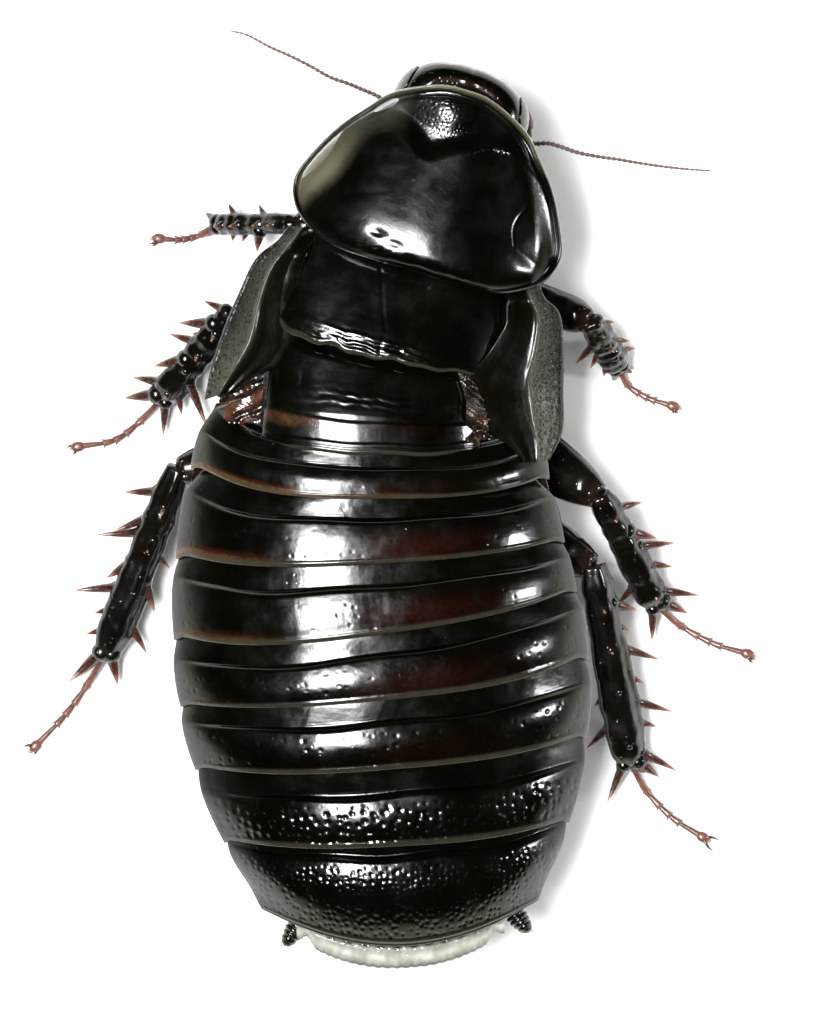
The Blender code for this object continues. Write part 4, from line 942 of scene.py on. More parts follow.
def head_net():
    """The head capsule from its crown down to the mouth, in the front frame."""
    rows, columns = 90, 120
    rings = np.array(HEAD_RINGS)
    depth = np.concatenate([[0.0], np.cumsum(np.linalg.norm(np.diff(rings[:, :2], axis=0), axis=1))])
    along = np.linspace(0.0, depth[-1], rows)[:, None]
    z, wide, deep, middle = (np.interp(along[:, 0], depth, rings[:, column])[:, None] for column in range(4))
    soft = np.ones(5) / 5
    padded = [np.pad(values[:, 0], 2, mode="edge") for values in (z, wide, deep, middle)]
    z, wide, deep, middle = (np.convolve(values, soft, mode="valid")[:, None] for values in padded)
    angle = np.linspace(0, 2 * math.pi, columns, endpoint=False)[None]
    side, face = np.cos(angle), -np.sin(angle)
    square = 1 + 0.06 * np.sin(2 * angle) ** 2
    x = wide * side * square
    y = middle - deep * face * square
    z = z + 0 * angle
    ahead = np.clip(face, 0, 1)
    out = 0.12 * bell(np.abs(x), 2.4, 0.5) * bell(z, 4.2, 0.6) - 0.12 * bell(z, 3.45, 0.1) * ahead
    for height, off, wide_spread, level, high_spread in FACE_RELIEF:
        out = out + height * bell(np.abs(x), off, wide_spread) * bell(z, level, high_spread) * ahead
    out = out - 0.1 * bell(np.abs(x) - (0.75 + 0.35 * (5.6 - z)), 0, 0.1) * ahead * bell(z, 5.0, 0.7)
    out = out - 0.05 * bell(np.abs(x), 0.35 + 0.55 * np.clip(6.9 - z, 0, 3), 0.06) * ahead * bell(z, 6.0, 0.9)
    ridge = bell(deep, 1.62, 0.09) * ahead * (z > 7)
    behind = ease((1.7 - deep) / 0.12) * (z > 7)
    crests = 0.6 + 0.4 * np.sin(5 * x + 1.5 * np.sin(3 * x))
    out = out - 0.04 * bell(x, 0, 0.05) * bell(z, 7.4, 0.9) * ahead
    pits = pitting(3 * angle, z, 0.27, 0.055, 0.035, 0.75, 151)
    out = out - pits * ease((7.9 - z) / 0.5) + 0.02 * ripple(1.3 * x, 1.3 * z, 152)
    slope = unit(np.stack([side, -face, np.zeros_like(side)], -1))
    net = np.stack([x, y, z + 0.07 * ridge * crests], -1) + slope * out[..., None]
    band = 0.3 * behind + 0.3 * ridge + 0.8 * ease((3.6 - z) / 0.3)
    return net, band


def build_head(shape, materials):
    """The head capsule with its furrows, antenna sockets, cheeks and lip shield."""
    net, band = head_net()
    heap = Heap()
    heap.add_net(net, brown=band)
    lump(heap, (0.0, -9.45, 3.0), (1.25, 0.42, 0.55), turned(x=-18), power=2.6, brown=0.8)
    for side in (1, -1):
        ring = curve_through([(side * (2.36 + 0.3 * math.cos(a)), -9.76 + 0.24 * math.cos(a),
                               5.2 + 0.38 * math.sin(a)) for a in np.linspace(0, 2 * math.pi, 13)], 40)
        heap.add_net(tube(ring, 0.08, sides=8), brown=1.0)
        lump(heap, (side * 1.45, -10.4, 6.1), (0.2, 0.1, 0.24), kind=1, rows=8, columns=14)
    heap.piece("head_capsule", "head_black", [materials["head"], materials["ocellus"]], ("head",), front=True)


def on_head(net, angle, z, lift):
    """Points on the head capsule at an angle round it and a height, moved outwards by lift."""
    rows, columns = net.shape[:2]
    middle = net.mean(axis=1)
    row = np.interp(-z, -middle[:, 2], np.arange(rows))
    column = np.mod(angle / (2 * math.pi) * columns, columns)
    low_row, low_column = np.clip(row.astype(int), 0, rows - 2), column.astype(int) % columns
    down, across = (row - low_row)[..., None], (column - column.astype(int))[..., None]
    next_column = (low_column + 1) % columns
    above = blend(net[low_row, low_column], net[low_row, next_column], across)
    below = blend(net[low_row + 1, low_column], net[low_row + 1, next_column], across)
    out = np.stack([np.cos(angle), np.sin(angle), 0.25 + 0 * angle], -1)
    return blend(above, below, down) + out * np.broadcast_to(lift, angle.shape)[..., None]


def build_eyes(shape, materials):
    """Two kidney-shaped eyes, set into the sides of the head behind a raised rim."""
    heap = Heap()
    net, _ = head_net()
    turn = np.linspace(0, 2 * math.pi, 96, endpoint=False)[None]
    reach = np.concatenate([np.linspace(0.04, 1, 40), np.linspace(0.96, 0.1, 8)])[:, None]
    dome = np.concatenate([0.02 + 0.13 * np.sqrt(1 - np.linspace(0.04, 1, 40) ** 2), np.full(8, -0.2)])[:, None]
    kidney = 1 - 0.3 * bell(np.sin(0.5 * (turn - math.radians(215))), 0.0, 0.3)
    for side in (1, -1):
        angle = -math.radians(16) + math.radians(25) * reach * kidney * np.cos(turn)
        angle = angle if side > 0 else math.pi - angle
        z = 6.55 + 1.1 * reach * kidney * np.sin(turn)
        heap.add_net(on_head(net, angle, z, dome))
        rim = on_head(net, angle[39], z[39], 0.03)
        heap.add_net(tube(np.concatenate([rim, rim[:1]]), 0.06, sides=8), kind=1)
    pieces = [materials["eye"], materials["head"]]
    heap.piece("faceted_eyes", "eye_black", pieces, ("eye_left", "eye_right"), front=True)


def jointed(heap, path, joints, radii, kind=0):
    """A palp of club-shaped joints: joints gives the ends of each joint along the path from 0 to 1."""
    fine = curve_through(path, 220)
    places = np.linspace(0, 1, len(fine))
    for near, far in zip(joints, joints[1:]):
        s = np.linspace(near, far, 9)
        t = np.linspace(0, 1, 9)
        centre = at_places(fine, places, s)
        swell = 0.62 + 0.5 * t**0.7 - 0.35 * ease((t - 0.82) / 0.18)
        radius = np.interp(s, np.linspace(0, 1, len(radii)), radii) * swell
        heap.add_net(tube(centre, radius, sides=16), kind, along=s[:, None], joint=t[:, None])


def build_mouth(shape, materials):
    """Upper lip, toothed jaws, lower lip and the long and short palps."""
    heap = Heap()
    lump(heap, (0.0, -9.15, 2.15), (0.85, 0.2, 0.5), turned(x=-12), power=2.8, rows=14, columns=24)
    for side in (1, -1):
        lump(heap, (side * 1.15, -8.45, 2.35), (0.75, 0.7, 0.85), turned(z=side * 20), kind=1, power=2.4,
             rows=14)
        for tooth in range(4):
            root = (side * (0.75 - 0.05 * tooth), -8.95 + 0.16 * tooth, 1.75)
            thorn(heap, root, (side * 0.12, -9.0 + 0.2 * tooth, 1.3 + 0.05 * tooth), 0.14, kind=1, sides=8)
        palp = [(side * x, y, z) for x, y, z in ((1.35, -8.7, 3.1), (1.75, -9.2, 2.9), (2.2, -9.4, 2.3),
                                                (2.4, -9.35, 1.5), (2.3, -9.05, 0.85))]
        jointed(heap, palp, (0.0, 0.12, 0.26, 0.52, 0.76, 1.0), (0.24, 0.22, 0.22, 0.24, 0.28), kind=2)
        short = [(side * x, y, z) for x, y, z in ((0.5, -7.7, 2.0), (0.95, -8.3, 1.5), (1.15, -8.7, 1.0),
                                                 (1.1, -8.8, 0.6))]
        jointed(heap, short, (0.0, 0.3, 0.62, 1.0), (0.15, 0.15, 0.16), kind=2)
        lump(heap, (side * 0.7, -8.0, 1.75), (0.35, 0.5, 0.5), kind=2)
    lump(heap, (0.0, -7.55, 2.15), (0.95, 0.45, 0.8), turned(x=20), kind=2, power=2.6)
    looks = [materials["head"], materials["head"], materials["palp"]]
    heap.piece("mouthparts", "leg_brown", looks, ("palp_left", "palp_right"), front=True)


SCAPE_PATH = ((2.15, -9.45, 5.2), (2.5, -9.75, 5.1), (3.05, -9.3, 4.9), (3.5, -8.6, 4.8), (3.72, -7.95, 4.8))


def build_feeler(heap, number, points, bead):
    """A stout curved first joint, a short second one, and a long chain of beads with bristles."""
    count = 900
    side = 1 if number == 0 else -1
    tucked = 0.22 if number == 0 else 0.0
    root = front_to_body([(side * (x - tucked * (x > 2.6)), y, z) for x, y, z in SCAPE_PATH])
    path = curve_through([tuple(point) for point in root] + list(points[1:]), count)
    length = float(np.linalg.norm(np.diff(path, axis=0), axis=1).sum())
    s = np.linspace(0, length, count)
    base = 2.65
    share = np.modf(np.clip(s - base, 0, None) / bead)[0]
    profile = 0.52 + 0.52 * np.sin(math.pi * share) ** 0.7
    stem = np.interp(s, [0, 0.2, 0.5, 1.8, 2.1, 2.2, 2.5, 2.64],
                     [0.13, 0.2, 0.23, 0.25, 0.21, 0.13, 0.17, 0.12])
    stem = stem * (0.75 if number == 0 else 1.0)
    taper = np.interp(s / length, [0.0, 0.3, 0.8, 1.0], [0.125, 0.115, 0.08, 0.045])
    radius = np.where(s < base, stem, taper * profile)
    radius[-6:] *= np.linspace(0.9, 0.15, 6)
    along = (s / length)[:, None]
    joint = np.where(s < base, 0.5, share)[:, None]
    heap.add_net(tube(path, radius, sides=14), along=along, joint=joint)
    tangent = unit(np.gradient(path, axis=0))
    for hair in range(int((length - base) / bead) * 3):
        at = int((base + (hair // 3 + 0.55) * bead) / length * (count - 1))
        angle = 2.1 * (hair % 3) + 1.3 * (hair // 3) + number
        sideways = unit(np.cross(tangent[at], (0, 0, 1.0)))
        out = sideways * math.cos(angle) + np.cross(tangent[at], sideways) * math.sin(angle)
        root = path[at] + out * radius[at] * 0.85
        thorn(heap, root, root + out * 0.1 + tangent[at] * 0.09, 0.011, sides=5, joint=0.5)


def build_antennae(shape, materials):
    """Both feelers."""
    heap = Heap()
    for number, points in enumerate((ANTENNA_LEFT, ANTENNA_RIGHT)):
        build_feeler(heap, number, points, shape.bead_length / MM)
    heap.piece("feelers", "antenna_brown", [materials["antenna"]], ("antenna_left", "antenna_right"))


def build_front_underside(shape, materials):
    """The body of the front ring, its collar and the plates in front of and beside the front hips."""
    heap = Heap()
    y = np.linspace(-6.2, -0.6, 40)[:, None]
    angle = np.linspace(0, 2 * math.pi, 72, endpoint=False)[None]
    wide = np.interp(y, [-6.2, -5.4, -0.6], [3.3, 3.7, 4.3])
    top = np.interp(y, [-6.2, -5.4, -0.6], [7.6, 7.9, 7.0])
    low = np.interp(y, [-6.2, -5.0, -0.6], [5.4, 5.05, 5.0])
    upper = 6.5 + (top - 6.5) * np.sin(angle)
    lower = 6.5 + (6.5 - low) * np.sin(angle)
    fold = 0.05 * np.sin(9 * y) + 0.04 * ripple(3 * np.cos(angle), y, 171)
    x = (wide + fold) * np.cos(angle)
    z = np.where(np.sin(angle) > 0, upper, lower) + fold
    heap.add_net(np.stack([x, y + 0 * angle, z], -1))
    collar_y = np.linspace(-8.2, -5.9, 20)[:, None]
    collar = 0.05 * np.sin(12 * collar_y)
    heap.add_net(np.stack([(1.9 + collar) * np.cos(angle), collar_y + 0 * angle,
                           6.0 + (1.35 + collar) * np.sin(angle)], -1))
    lump(heap, (0.0, -3.0, 5.05), (0.9, 2.2, 0.3), kind=1, power=2.6)
    for side in (1, -1):
        lump(heap, (side * 3.2, -3.6, 5.5), (1.0, 1.8, 0.4), turned(y=side * 24), kind=1, power=2.4, rows=14)
    looks = [materials["membrane"], materials["belly"]]
    heap.piece("front_body", "underside_brown", looks, ("prothorax",), front=True)


def build_breast(shape, materials):
    """The plates of the breast between and beside the middle and hind hips."""
    heap = Heap()
    for y, wide, long in ((-9.3, 1.1, 1.7), (-5.0, 1.2, 1.7)):
        middle = float(smooth(MID_LINE, y))
        lump(heap, (middle, y, 4.95), (wide, long, 0.28), power=2.6, rows=14, columns=24, lip=0.0)
        for side in (1, -1):
            lump(heap, (middle + side * 4.3, y - 0.2, 5.25), (1.4, 1.9, 0.35), turned(y=side * 26, z=side * 8),
                 power=2.4, rows=14, columns=24, lip=0.0)
    heap.piece("breast_plates", "underside_brown", [materials["belly"]])


def leg_nodes(part):
    """The names of one part's solids on all six legs."""
    return [f"{part}_{leg}" for leg in LEGS]


def leg_path(start, end, count):
    return np.array(start) + (np.array(end) - np.array(start)) * np.linspace(0, 1, count)[:, None]


def profile(stations, count):
    """Values at even places along smooth stations that are themselves even."""
    places = np.linspace(0, 1, len(stations))
    return smooth(np.stack([places, np.array(stations, float)], 1), np.linspace(0, 1, count))


def build_hips(shape, materials):
    """The broad first leg joints and the small ring joints at their tips."""
    heap = Heap()
    for leg in LEGS.values():
        root, tip = (np.array(point) for point in leg["coxa"])
        path = leg_path(root, tip, 40)
        wide = profile((0.6, 0.95, 1.12, 1.1, 0.95, 0.72, 0.5), 40)
        deep = profile((0.4, 0.62, 0.68, 0.68, 0.62, 0.55, 0.42), 40)
        net = tube(path, wide, deep, sides=48, power=2.2)
        s = np.linspace(0, 1, 40)[:, None]
        net[..., 2] -= 0.05 * np.sin(9 * s) * 0.4 - 0.03 * ripple(2 * net[..., 0], 2 * net[..., 1], 181)
        heap.add_net(net, lip=ease((s - 0.85) / 0.1))
        ahead = unit(tip - root)
        lump(heap, tip + 0.3 * ahead - (0, 0, 0.55), (0.55, 0.45, 0.5), turned(z=40), power=2.3, lip=0.7)
    heap.piece("hips", "underside_brown", [materials["belly"]], leg_nodes("coxa"))


def femur_ends(leg):
    root, tip = (np.array(point) for point in leg["coxa"])
    ahead = unit(tip - root)
    start = tip + (ahead[0] * HIP_SHIFT, ahead[1] * HIP_SHIFT, -HIP_DROP)
    return start, np.array(leg["knee"])


def build_thigh(heap, number, leg):
    """A thigh: flattened, swollen before the middle, with a few spines below, and knee lobes."""
    start, knee = femur_ends(leg)
    ahead = unit(knee - start)
    end = knee - 0.12 * ahead
    path = leg_path(start - 0.15 * ahead, end, 60)
    widths, depths = zip(*leg["femur"])
    half_width = smooth(((0, 0.8 * widths[0]), (0.18, 0.8 * widths[1]), (0.42, widths[1]),
                         (0.75, 0.62 * widths[1] + 0.5 * widths[2]), (0.93, 1.1 * widths[2]),
                         (1.0, 0.75 * widths[2])), np.linspace(0, 1, 60))
    half_depth = smooth(((0, 0.8 * depths[0]), (0.2, 0.9 * depths[1]), (0.42, depths[1]),
                         (0.8, 0.9 * depths[2]),
                         (0.93, depths[2]), (1.0, 0.55 * depths[2])), np.linspace(0, 1, 60))
    net = tube(path, half_width, half_depth, sides=56)
    t = np.linspace(0, 1, 60)[:, None]
    net[..., 2] += 0.05 * ripple(2.4 * net[..., 0], 2.4 * net[..., 1], 190 + number) * ease((t - 0.3) / 0.2)
    heap.add_net(net, red=0.35 * ease((t - 0.93) / 0.06))
    level = level_across(ahead)
    below = -unit(np.cross(ahead, level))
    if below[2] > 0:
        below = -below
    for side in (1, -1):
        for spine in range(3):
            at = int(60 * (0.55 + 0.14 * spine))
            root = path[at] + level * side * 0.55 * half_width[at] + below * 0.7 * half_depth[at]
            tip = root + below * 0.7 + ahead * 0.3 + level * side * 0.2
            thorn(heap, root, tip, 0.13, kind=1)
        lobe = knee - ahead * 0.4 + level * side * 0.42 * half_width[-4]
        lump(heap, lobe, (0.38, 0.38, 0.42), turned(z=number * 30), red=0.3)


def build_thighs(shape, materials):
    """All six thighs."""
    heap = Heap()
    for number, leg in enumerate(LEGS.values()):
        build_thigh(heap, number, leg)
    heap.piece("thighs", "leg_black", [materials["leg"], materials["spine"]], leg_nodes("femur"))


def shin_net(path, half_width, half_depth, seed):
    """A shin with rounded edges, shallow furrows between them and a slightly uneven skin."""
    net = tube(path, half_width, half_depth, sides=64)
    angle = 2 * math.pi * np.arange(64) / 64
    furrows = 1 - 0.05 * np.abs(np.sin(2.5 * angle)) ** 3 + 0.03 * np.cos(5 * angle)
    s = np.linspace(0, 1, len(path))[:, None]
    rough = 1 + 0.06 * ripple(13 * s, 2.0 * np.sin(angle), seed)
    rough = rough + 0.03 * ripple(36 * s, 4 * np.cos(angle), seed + 50)
    return path[:, None] + (net - path[:, None]) * (furrows * rough)[..., None]


SHIN_SWELL = ((0, 0.75), (0.05, 0.92), (0.12, 0.98), (0.5, 1.08), (0.8, 1.14), (0.93, 1.02), (1.0, 0.6))


def build_shin(heap, number, name, leg, thick, extra_spines):
    """A shin with its rows of large spines, each in a raised socket, and finer spines between them."""
    knee, ankle = np.array(leg["knee"]), np.array(leg["ankle"])
    ahead = unit(ankle - knee)
    path = leg_path(knee - 0.15 * ahead, ankle + 0.05 * ahead, 80)
    t = np.linspace(0, 1, 80)
    (near_wide, near_deep), (far_wide, far_deep) = leg["tibia"]
    swell = smooth(SHIN_SWELL, t)
    swell = swell + 0.08 * np.sin(5.5 * math.pi * t + 0.9 * np.sin(9 * t + number)) ** 2 - 0.03
    half_width = blend(near_wide, far_wide, t) * swell
    half_depth = blend(near_deep, far_deep, t) * swell
    red = 0.3 * ease((t - 0.93) / 0.06) + 0.2 * (1 - ease(t / 0.06))
    heap.add_net(shin_net(path, half_width, half_depth, 200 + number), red=red[:, None])
    level = level_across(ahead)
    up = np.cross(ahead, level)
    up = up if up[2] > 0 else -up

    def seat(at, tip, strong):
        index = int(np.clip(at, 0.02, 0.98) * 79)
        out = unit(tip - path[index])
        root = path[index] + out * half_width[index] * 0.78
        reach = float(np.linalg.norm(tip - root))
        radius = thick * (1.3 if strong else 1.0) * min(1.0, 0.5 + 0.35 * reach)
        lump(heap, root - out * 0.1, (1.55 * radius,) * 3, rows=8, columns=14)
        sag = -0.08 * reach
        thorn(heap, root, tip, radius, bend=(0, 0, sag), kind=1, tone=float(strong))

    for place, tip, strong in SHIN_SPINES[name]:
        low = knee[2] + (ankle[2] - knee[2]) * place
        seat(place, np.array([*tip, max(low - 0.3, 0.3)]), strong)
    rng = np.random.default_rng(300 + number)
    for row, lift in ((0.45, 0.9), (1, -0.9), (-1, -0.9)):
        for step in range(extra_spines):
            place = (step + 0.6 + 0.25 * rng.uniform()) / (extra_spines + 0.4)
            middle = knee + (ankle - knee) * place
            size = (0.2 if lift > 0 else 0.8) + 0.3 * rng.uniform()
            tip = middle + level * row * (0.2 + 0.3 * size) + up * lift * (0.5 + size) + ahead * 0.9 * size
            tip[2] = max(tip[2], 0.3)
            seat(place, tip, False)
    for side in (1, -1):
        tip = ankle + ahead * 0.7 + level * side * 0.62
        seat(0.95, np.array([tip[0], tip[1], max(tip[2] - 0.1, 0.25)]), True)


def build_shins(shape, materials):
    """All six shins."""
    heap = Heap()
    for number, (name, leg) in enumerate(LEGS.items()):
        build_shin(heap, number, name, leg, shape.spine_radius / MM, shape.extra_spines)
    heap.piece("shins", "leg_black", [materials["leg"], materials["spine"]], leg_nodes("tibia"))


FOOT_JOINTS = (0.0, 0.38, 0.52, 0.64, 0.75, 1.0)


def build_foot(heap, leg):
    """A five-jointed foot with pale pads under the joints, a rounded end pad and two curved claws."""
    knee, ankle = np.array(leg["knee"]), np.array(leg["ankle"])
    start = ankle + unit(ankle - knee) * 0.05
    path = [tuple(start)] + [(x, y, FOOT_CENTRE) for x, y in leg["toes"]]
    fine = curve_through(path, 200)
    fine[:, 2] = np.maximum(fine[:, 2], FOOT_CENTRE)
    places = np.linspace(0, 1, 200)
    for joint, (near, far) in enumerate(zip(FOOT_JOINTS, FOOT_JOINTS[1:])):
        s = np.linspace(near, far + 0.012, 16)
        t = np.linspace(0, 1, 16)
        centre = at_places(fine, places, s)
        radius = 0.155 * (0.65 + 0.55 * t**0.8 - 0.3 * ease((t - 0.85) / 0.15))
        radius = radius * (1.1 if joint == 0 else 0.95 if joint == 4 else 1.1)
        net = tube(centre, radius, radius * 0.92, sides=20, floor=0.0)
        heap.add_net(net, joint=t[:, None], along=s[:, None])
        if joint < 4:
            pad = centre[-4] - (0, 0, 0.1)
            lump(heap, (pad[0], pad[1], max(pad[2], 0.1)), (0.16, 0.16, 0.1), kind=1, rows=8, columns=12)
            onward = unit(centre[-1] - centre[0])
            for side in (1, -1):
                out = side * level_across(onward)
                root = centre[-4] + out * radius[-4] * 0.7
                tip = root + onward * 0.22 + out * 0.14
                thorn(heap, root, (tip[0], tip[1], max(tip[2] - 0.05, 0.04)), 0.035, kind=2, sides=7)
    end = fine[-1]
    ahead = unit((fine[-1] - fine[-14]) * (1, 1, 0))
    across = level_across(ahead)
    heading = turned(z=math.degrees(math.atan2(ahead[1], ahead[0])))
    lump(heap, end + 0.02 * ahead + (0, 0, 0.06), (0.36, 0.27, 0.17), heading, joint=0.6, along=1.0)
    lump(heap, end + 0.32 * ahead + (0, 0, -0.03), (0.2, 0.13, 0.07), heading, kind=1, rows=8, columns=14)
    for side, (x, y) in zip((1, -1), leg["claws"]):
        tip = np.array([x, y, 0.07])
        way = tip - end
        lean = across * (0.12 if float(np.dot(way, across)) > 0 else -0.12)
        root = end + 0.1 * unit(way) + (0, 0, 0.08)
        thorn(heap, root, tip, 0.085, bend=lean + (0, 0, 0.16), kind=2, sides=10)


def build_feet(shape, materials):
    """All six feet."""
    heap = Heap()
    for leg in LEGS.values():
        build_foot(heap, leg)
    looks = [materials["tarsus"], materials["pad"], materials["spine"]]
    heap.piece("feet", "leg_brown", looks, leg_nodes("tarsus"))


def add_node(tree, kind, **inputs):
    """Adds a shader node and sets the named inputs, where underscores stand for spaces."""
    made = tree.nodes.new(kind)
    for name, value in inputs.items():
        made.inputs[name.replace("_", " ")].default_value = value
    return made


def calculate(tree, operation, first, second=None, clamp=False):
    """One sum of two sockets or numbers."""
    made = tree.nodes.new("ShaderNodeMath")
    made.operation = operation
    made.use_clamp = clamp
    for socket, value in zip(made.inputs, (first, second)):
        if value is None:
            continue
        if isinstance(value, (int, float)):
            socket.default_value = value
        else:
            tree.links.new(value, socket)
    return made.outputs[0]


def remap(tree, value, low, high, to_low=0.0, to_high=1.0):
    """Spreads the values from low to high smoothly from to_low to to_high."""
    made = tree.nodes.new("ShaderNodeMapRange")
    made.interpolation_type = "SMOOTHSTEP"
    tree.links.new(value, made.inputs["Value"])
    for name, number in (("From Min", low), ("From Max", high), ("To Min", to_low), ("To Max", to_high)):
        made.inputs[name].default_value = number
    return made.outputs["Result"]


def mix_colour(tree, share, first, second):
    """Blends two colours or colour sockets by a share."""
    made = tree.nodes.new("ShaderNodeMix")
    made.data_type = "RGBA"
    for index, value in ((0, share), (6, first), (7, second)):
        if isinstance(value, tuple):
            made.inputs[index].default_value = value
        else:
            tree.links.new(value, made.inputs[index])
    return made.outputs[2]


def noise(tree, where, scale, detail=3.0):
    made = add_node(tree, "ShaderNodeTexNoise", Scale=scale, Detail=detail, Roughness=0.55)
    tree.links.new(where, made.inputs["Vector"])
    return made.outputs["Fac"]


def new_group(name, inputs, outputs):
    """An empty node group with named sockets; inputs are name, socket type, default and range."""
    tree = bpy.data.node_groups.new(name, "ShaderNodeTree")
    for socket_name, kind, default, *span in inputs:
        socket = tree.interface.new_socket(name=socket_name, in_out="INPUT", socket_type=kind)
        if default is not None:
            socket.default_value = default
        if span:
            socket.min_value, socket.max_value = span
    for socket_name, kind in outputs:
        tree.interface.new_socket(name=socket_name, in_out="OUTPUT", socket_type=kind)
    return tree, tree.nodes.new("NodeGroupInput").outputs, tree.nodes.new("NodeGroupOutput").inputs


FLOAT, COLOUR, VECTOR = "NodeSocketFloat", "NodeSocketColor", "NodeSocketVector"


def make_pit_group():
    """Scattered fine pits: a height from 1 on the skin to 0 in a pit, and a mask of the pits."""
    tree, given, out = new_group(
        "Cuticle pits",
        [("Place", VECTOR, None), ("Scale", FLOAT, 3500.0, 1.0, 100000.0), ("Size", FLOAT, 0.28, 0.0, 1.0),
         ("Share", FLOAT, 0.7, 0.0, 1.0)],
        [("Height", FLOAT), ("Pit", FLOAT)])
    cells = add_node(tree, "ShaderNodeTexVoronoi", Randomness=0.9)
    tree.links.new(given["Place"], cells.inputs["Vector"])
    tree.links.new(given["Scale"], cells.inputs["Scale"])
    outward = calculate(tree, "DIVIDE", cells.outputs["Distance"], given["Size"])
    inside = calculate(tree, "SUBTRACT", 1.0, outward, clamp=True)
    grey = tree.nodes.new("ShaderNodeRGBToBW")
    tree.links.new(cells.outputs["Color"], grey.inputs[0])
    chosen = calculate(tree, "LESS_THAN", grey.outputs[0], given["Share"])
    pit = calculate(tree, "MULTIPLY", remap(tree, inside, 0.0, 0.8), chosen)
    tree.links.new(pit, out["Pit"])
    tree.links.new(calculate(tree, "SUBTRACT", 1.0, pit), out["Height"])
    return tree


def make_tint_group():
    """Cuticle colour: black-brown clouds, a red-brown patch, amber margins and paler lips."""
    tree, given, out = new_group(
        "Cuticle tint",
        [("Place", VECTOR, None), ("Base", COLOUR, (0.01, 0.009, 0.008, 1)),
         ("Deep", COLOUR, (0.004, 0.004, 0.004, 1)),
         ("Patch Colour", COLOUR, (0.06, 0.01, 0.006, 1)), ("Patch", FLOAT, 0.0, 0.0, 1.0),
         ("Margin Colour", COLOUR, (0.3, 0.1, 0.04, 1)), ("Margin", FLOAT, 0.0, 0.0, 1.0),
         ("Lip Colour", COLOUR, (0.05, 0.03, 0.02, 1)), ("Lip", FLOAT, 0.0, 0.0, 1.0)],
        [("Colour", COLOUR)])
    grain = cloud(tree, given["Place"], 5200.0, 0.3, 0.7, 0.55, 1.0, detail=2.0)
    clouds = cloud(tree, given["Place"], 420.0, 0.35, 0.65, detail=4.0)
    colour = mix_colour(tree, clouds, given["Deep"], given["Base"])
    patch = calculate(tree, "MULTIPLY", given["Patch"], grain)
    colour = mix_colour(tree, patch, colour, given["Patch Colour"])
    margin = calculate(tree, "MULTIPLY", given["Margin"], grain)
    colour = mix_colour(tree, margin, colour, given["Margin Colour"])
    lip = calculate(tree, "MULTIPLY", given["Lip"], cloud(tree, given["Place"], 1500.0, 0.3, 0.7, 0.75, 1.0))
    tree.links.new(mix_colour(tree, lip, colour, given["Lip Colour"]), out["Colour"])
    return tree


def make_wear_group():
    """Roughness that varies in smears, with hair scratches that catch the light, and a faint dust mask."""
    tree, given, out = new_group(
        "Cuticle wear",
        [("Place", VECTOR, None), ("Smooth", FLOAT, 0.16, 0.0, 1.0), ("Rough", FLOAT, 0.3, 0.0, 1.0),
         ("Scratches", FLOAT, 0.4, 0.0, 1.0)],
        [("Roughness", FLOAT), ("Scratch", FLOAT), ("Dust", FLOAT)])
    smear = cloud(tree, given["Place"], 650.0, 0.35, 0.7, detail=5.0)
    mapping = add_node(tree, "ShaderNodeMapping", Rotation=(0.3, 0.2, 0.7), Scale=(1.0, 0.05, 1.0))
    tree.links.new(given["Place"], mapping.inputs["Vector"])
    hairs = cloud(tree, mapping.outputs["Vector"], 3200.0, 0.66, 0.72, detail=2.0)
    hairs = calculate(tree, "MULTIPLY", hairs, cloud(tree, given["Place"], 500.0, 0.5, 0.65))
    scratch = calculate(tree, "MULTIPLY", hairs, given["Scratches"])
    spread = calculate(tree, "SUBTRACT", given["Rough"], given["Smooth"])
    rough = calculate(tree, "ADD", given["Smooth"], calculate(tree, "MULTIPLY", smear, spread))
    rough = calculate(tree, "ADD", rough, calculate(tree, "MULTIPLY", scratch, 0.2), clamp=True)
    tree.links.new(rough, out["Roughness"])
    tree.links.new(scratch, out["Scratch"])
    tree.links.new(cloud(tree, given["Place"], 9000.0, 0.68, 0.78, detail=2.0), out["Dust"])
    return tree


def painted(tree, name):
    made = tree.nodes.new("ShaderNodeAttribute")
    made.attribute_name = name
    return made.outputs["Fac"]


def use_group(tree, name, **links):
    """Places a node group and sets or joins its inputs by name, where underscores stand for spaces."""
    made = tree.nodes.new("ShaderNodeGroup")
    made.node_tree = bpy.data.node_groups[name]
    for socket_name, value in links.items():
        socket = made.inputs[socket_name.replace("_", " ")]
        if isinstance(value, bpy.types.NodeSocket):
            tree.links.new(value, socket)
        else:
            socket.default_value = value
    return made.outputs


def relief_chain(tree, heights):
    """Bump nodes in a row; heights are socket, distance in metres and strength."""
    normal = None
    for height, distance, strength in heights:
        bump = add_node(tree, "ShaderNodeBump", Strength=strength, Distance=distance)
        tree.links.new(height, bump.inputs["Height"])
        if normal is not None:
            tree.links.new(normal, bump.inputs["Normal"])
        normal = bump.outputs["Normal"]
    return normal


def new_material(name):
    material = bpy.data.materials.new(name)
    material.use_nodes = True
    tree = material.node_tree
    shader = tree.nodes["Principled BSDF"]
    where = tree.nodes.new("ShaderNodeTexCoord").outputs["Object"]
    return material, tree, shader, where


def rgba(colour):
    return (*tuple(colour)[:3], 1.0)


def shade(colour, factor):
    return (*[channel * factor for channel in tuple(colour)[:3]], 1.0)


def dress(tree, shader, colour, rough, heights, **settings):
    """Joins colour, roughness and relief to the shader, and sets its other inputs by name."""
    tree.links.new(colour, shader.inputs["Base Color"])
    if isinstance(rough, float):
        shader.inputs["Roughness"].default_value = rough
    else:
        tree.links.new(rough, shader.inputs["Roughness"])
    tree.links.new(relief_chain(tree, heights), shader.inputs["Normal"])
    for name, value in settings.items():
        shader.inputs[name.replace("_", " ")].default_value = value


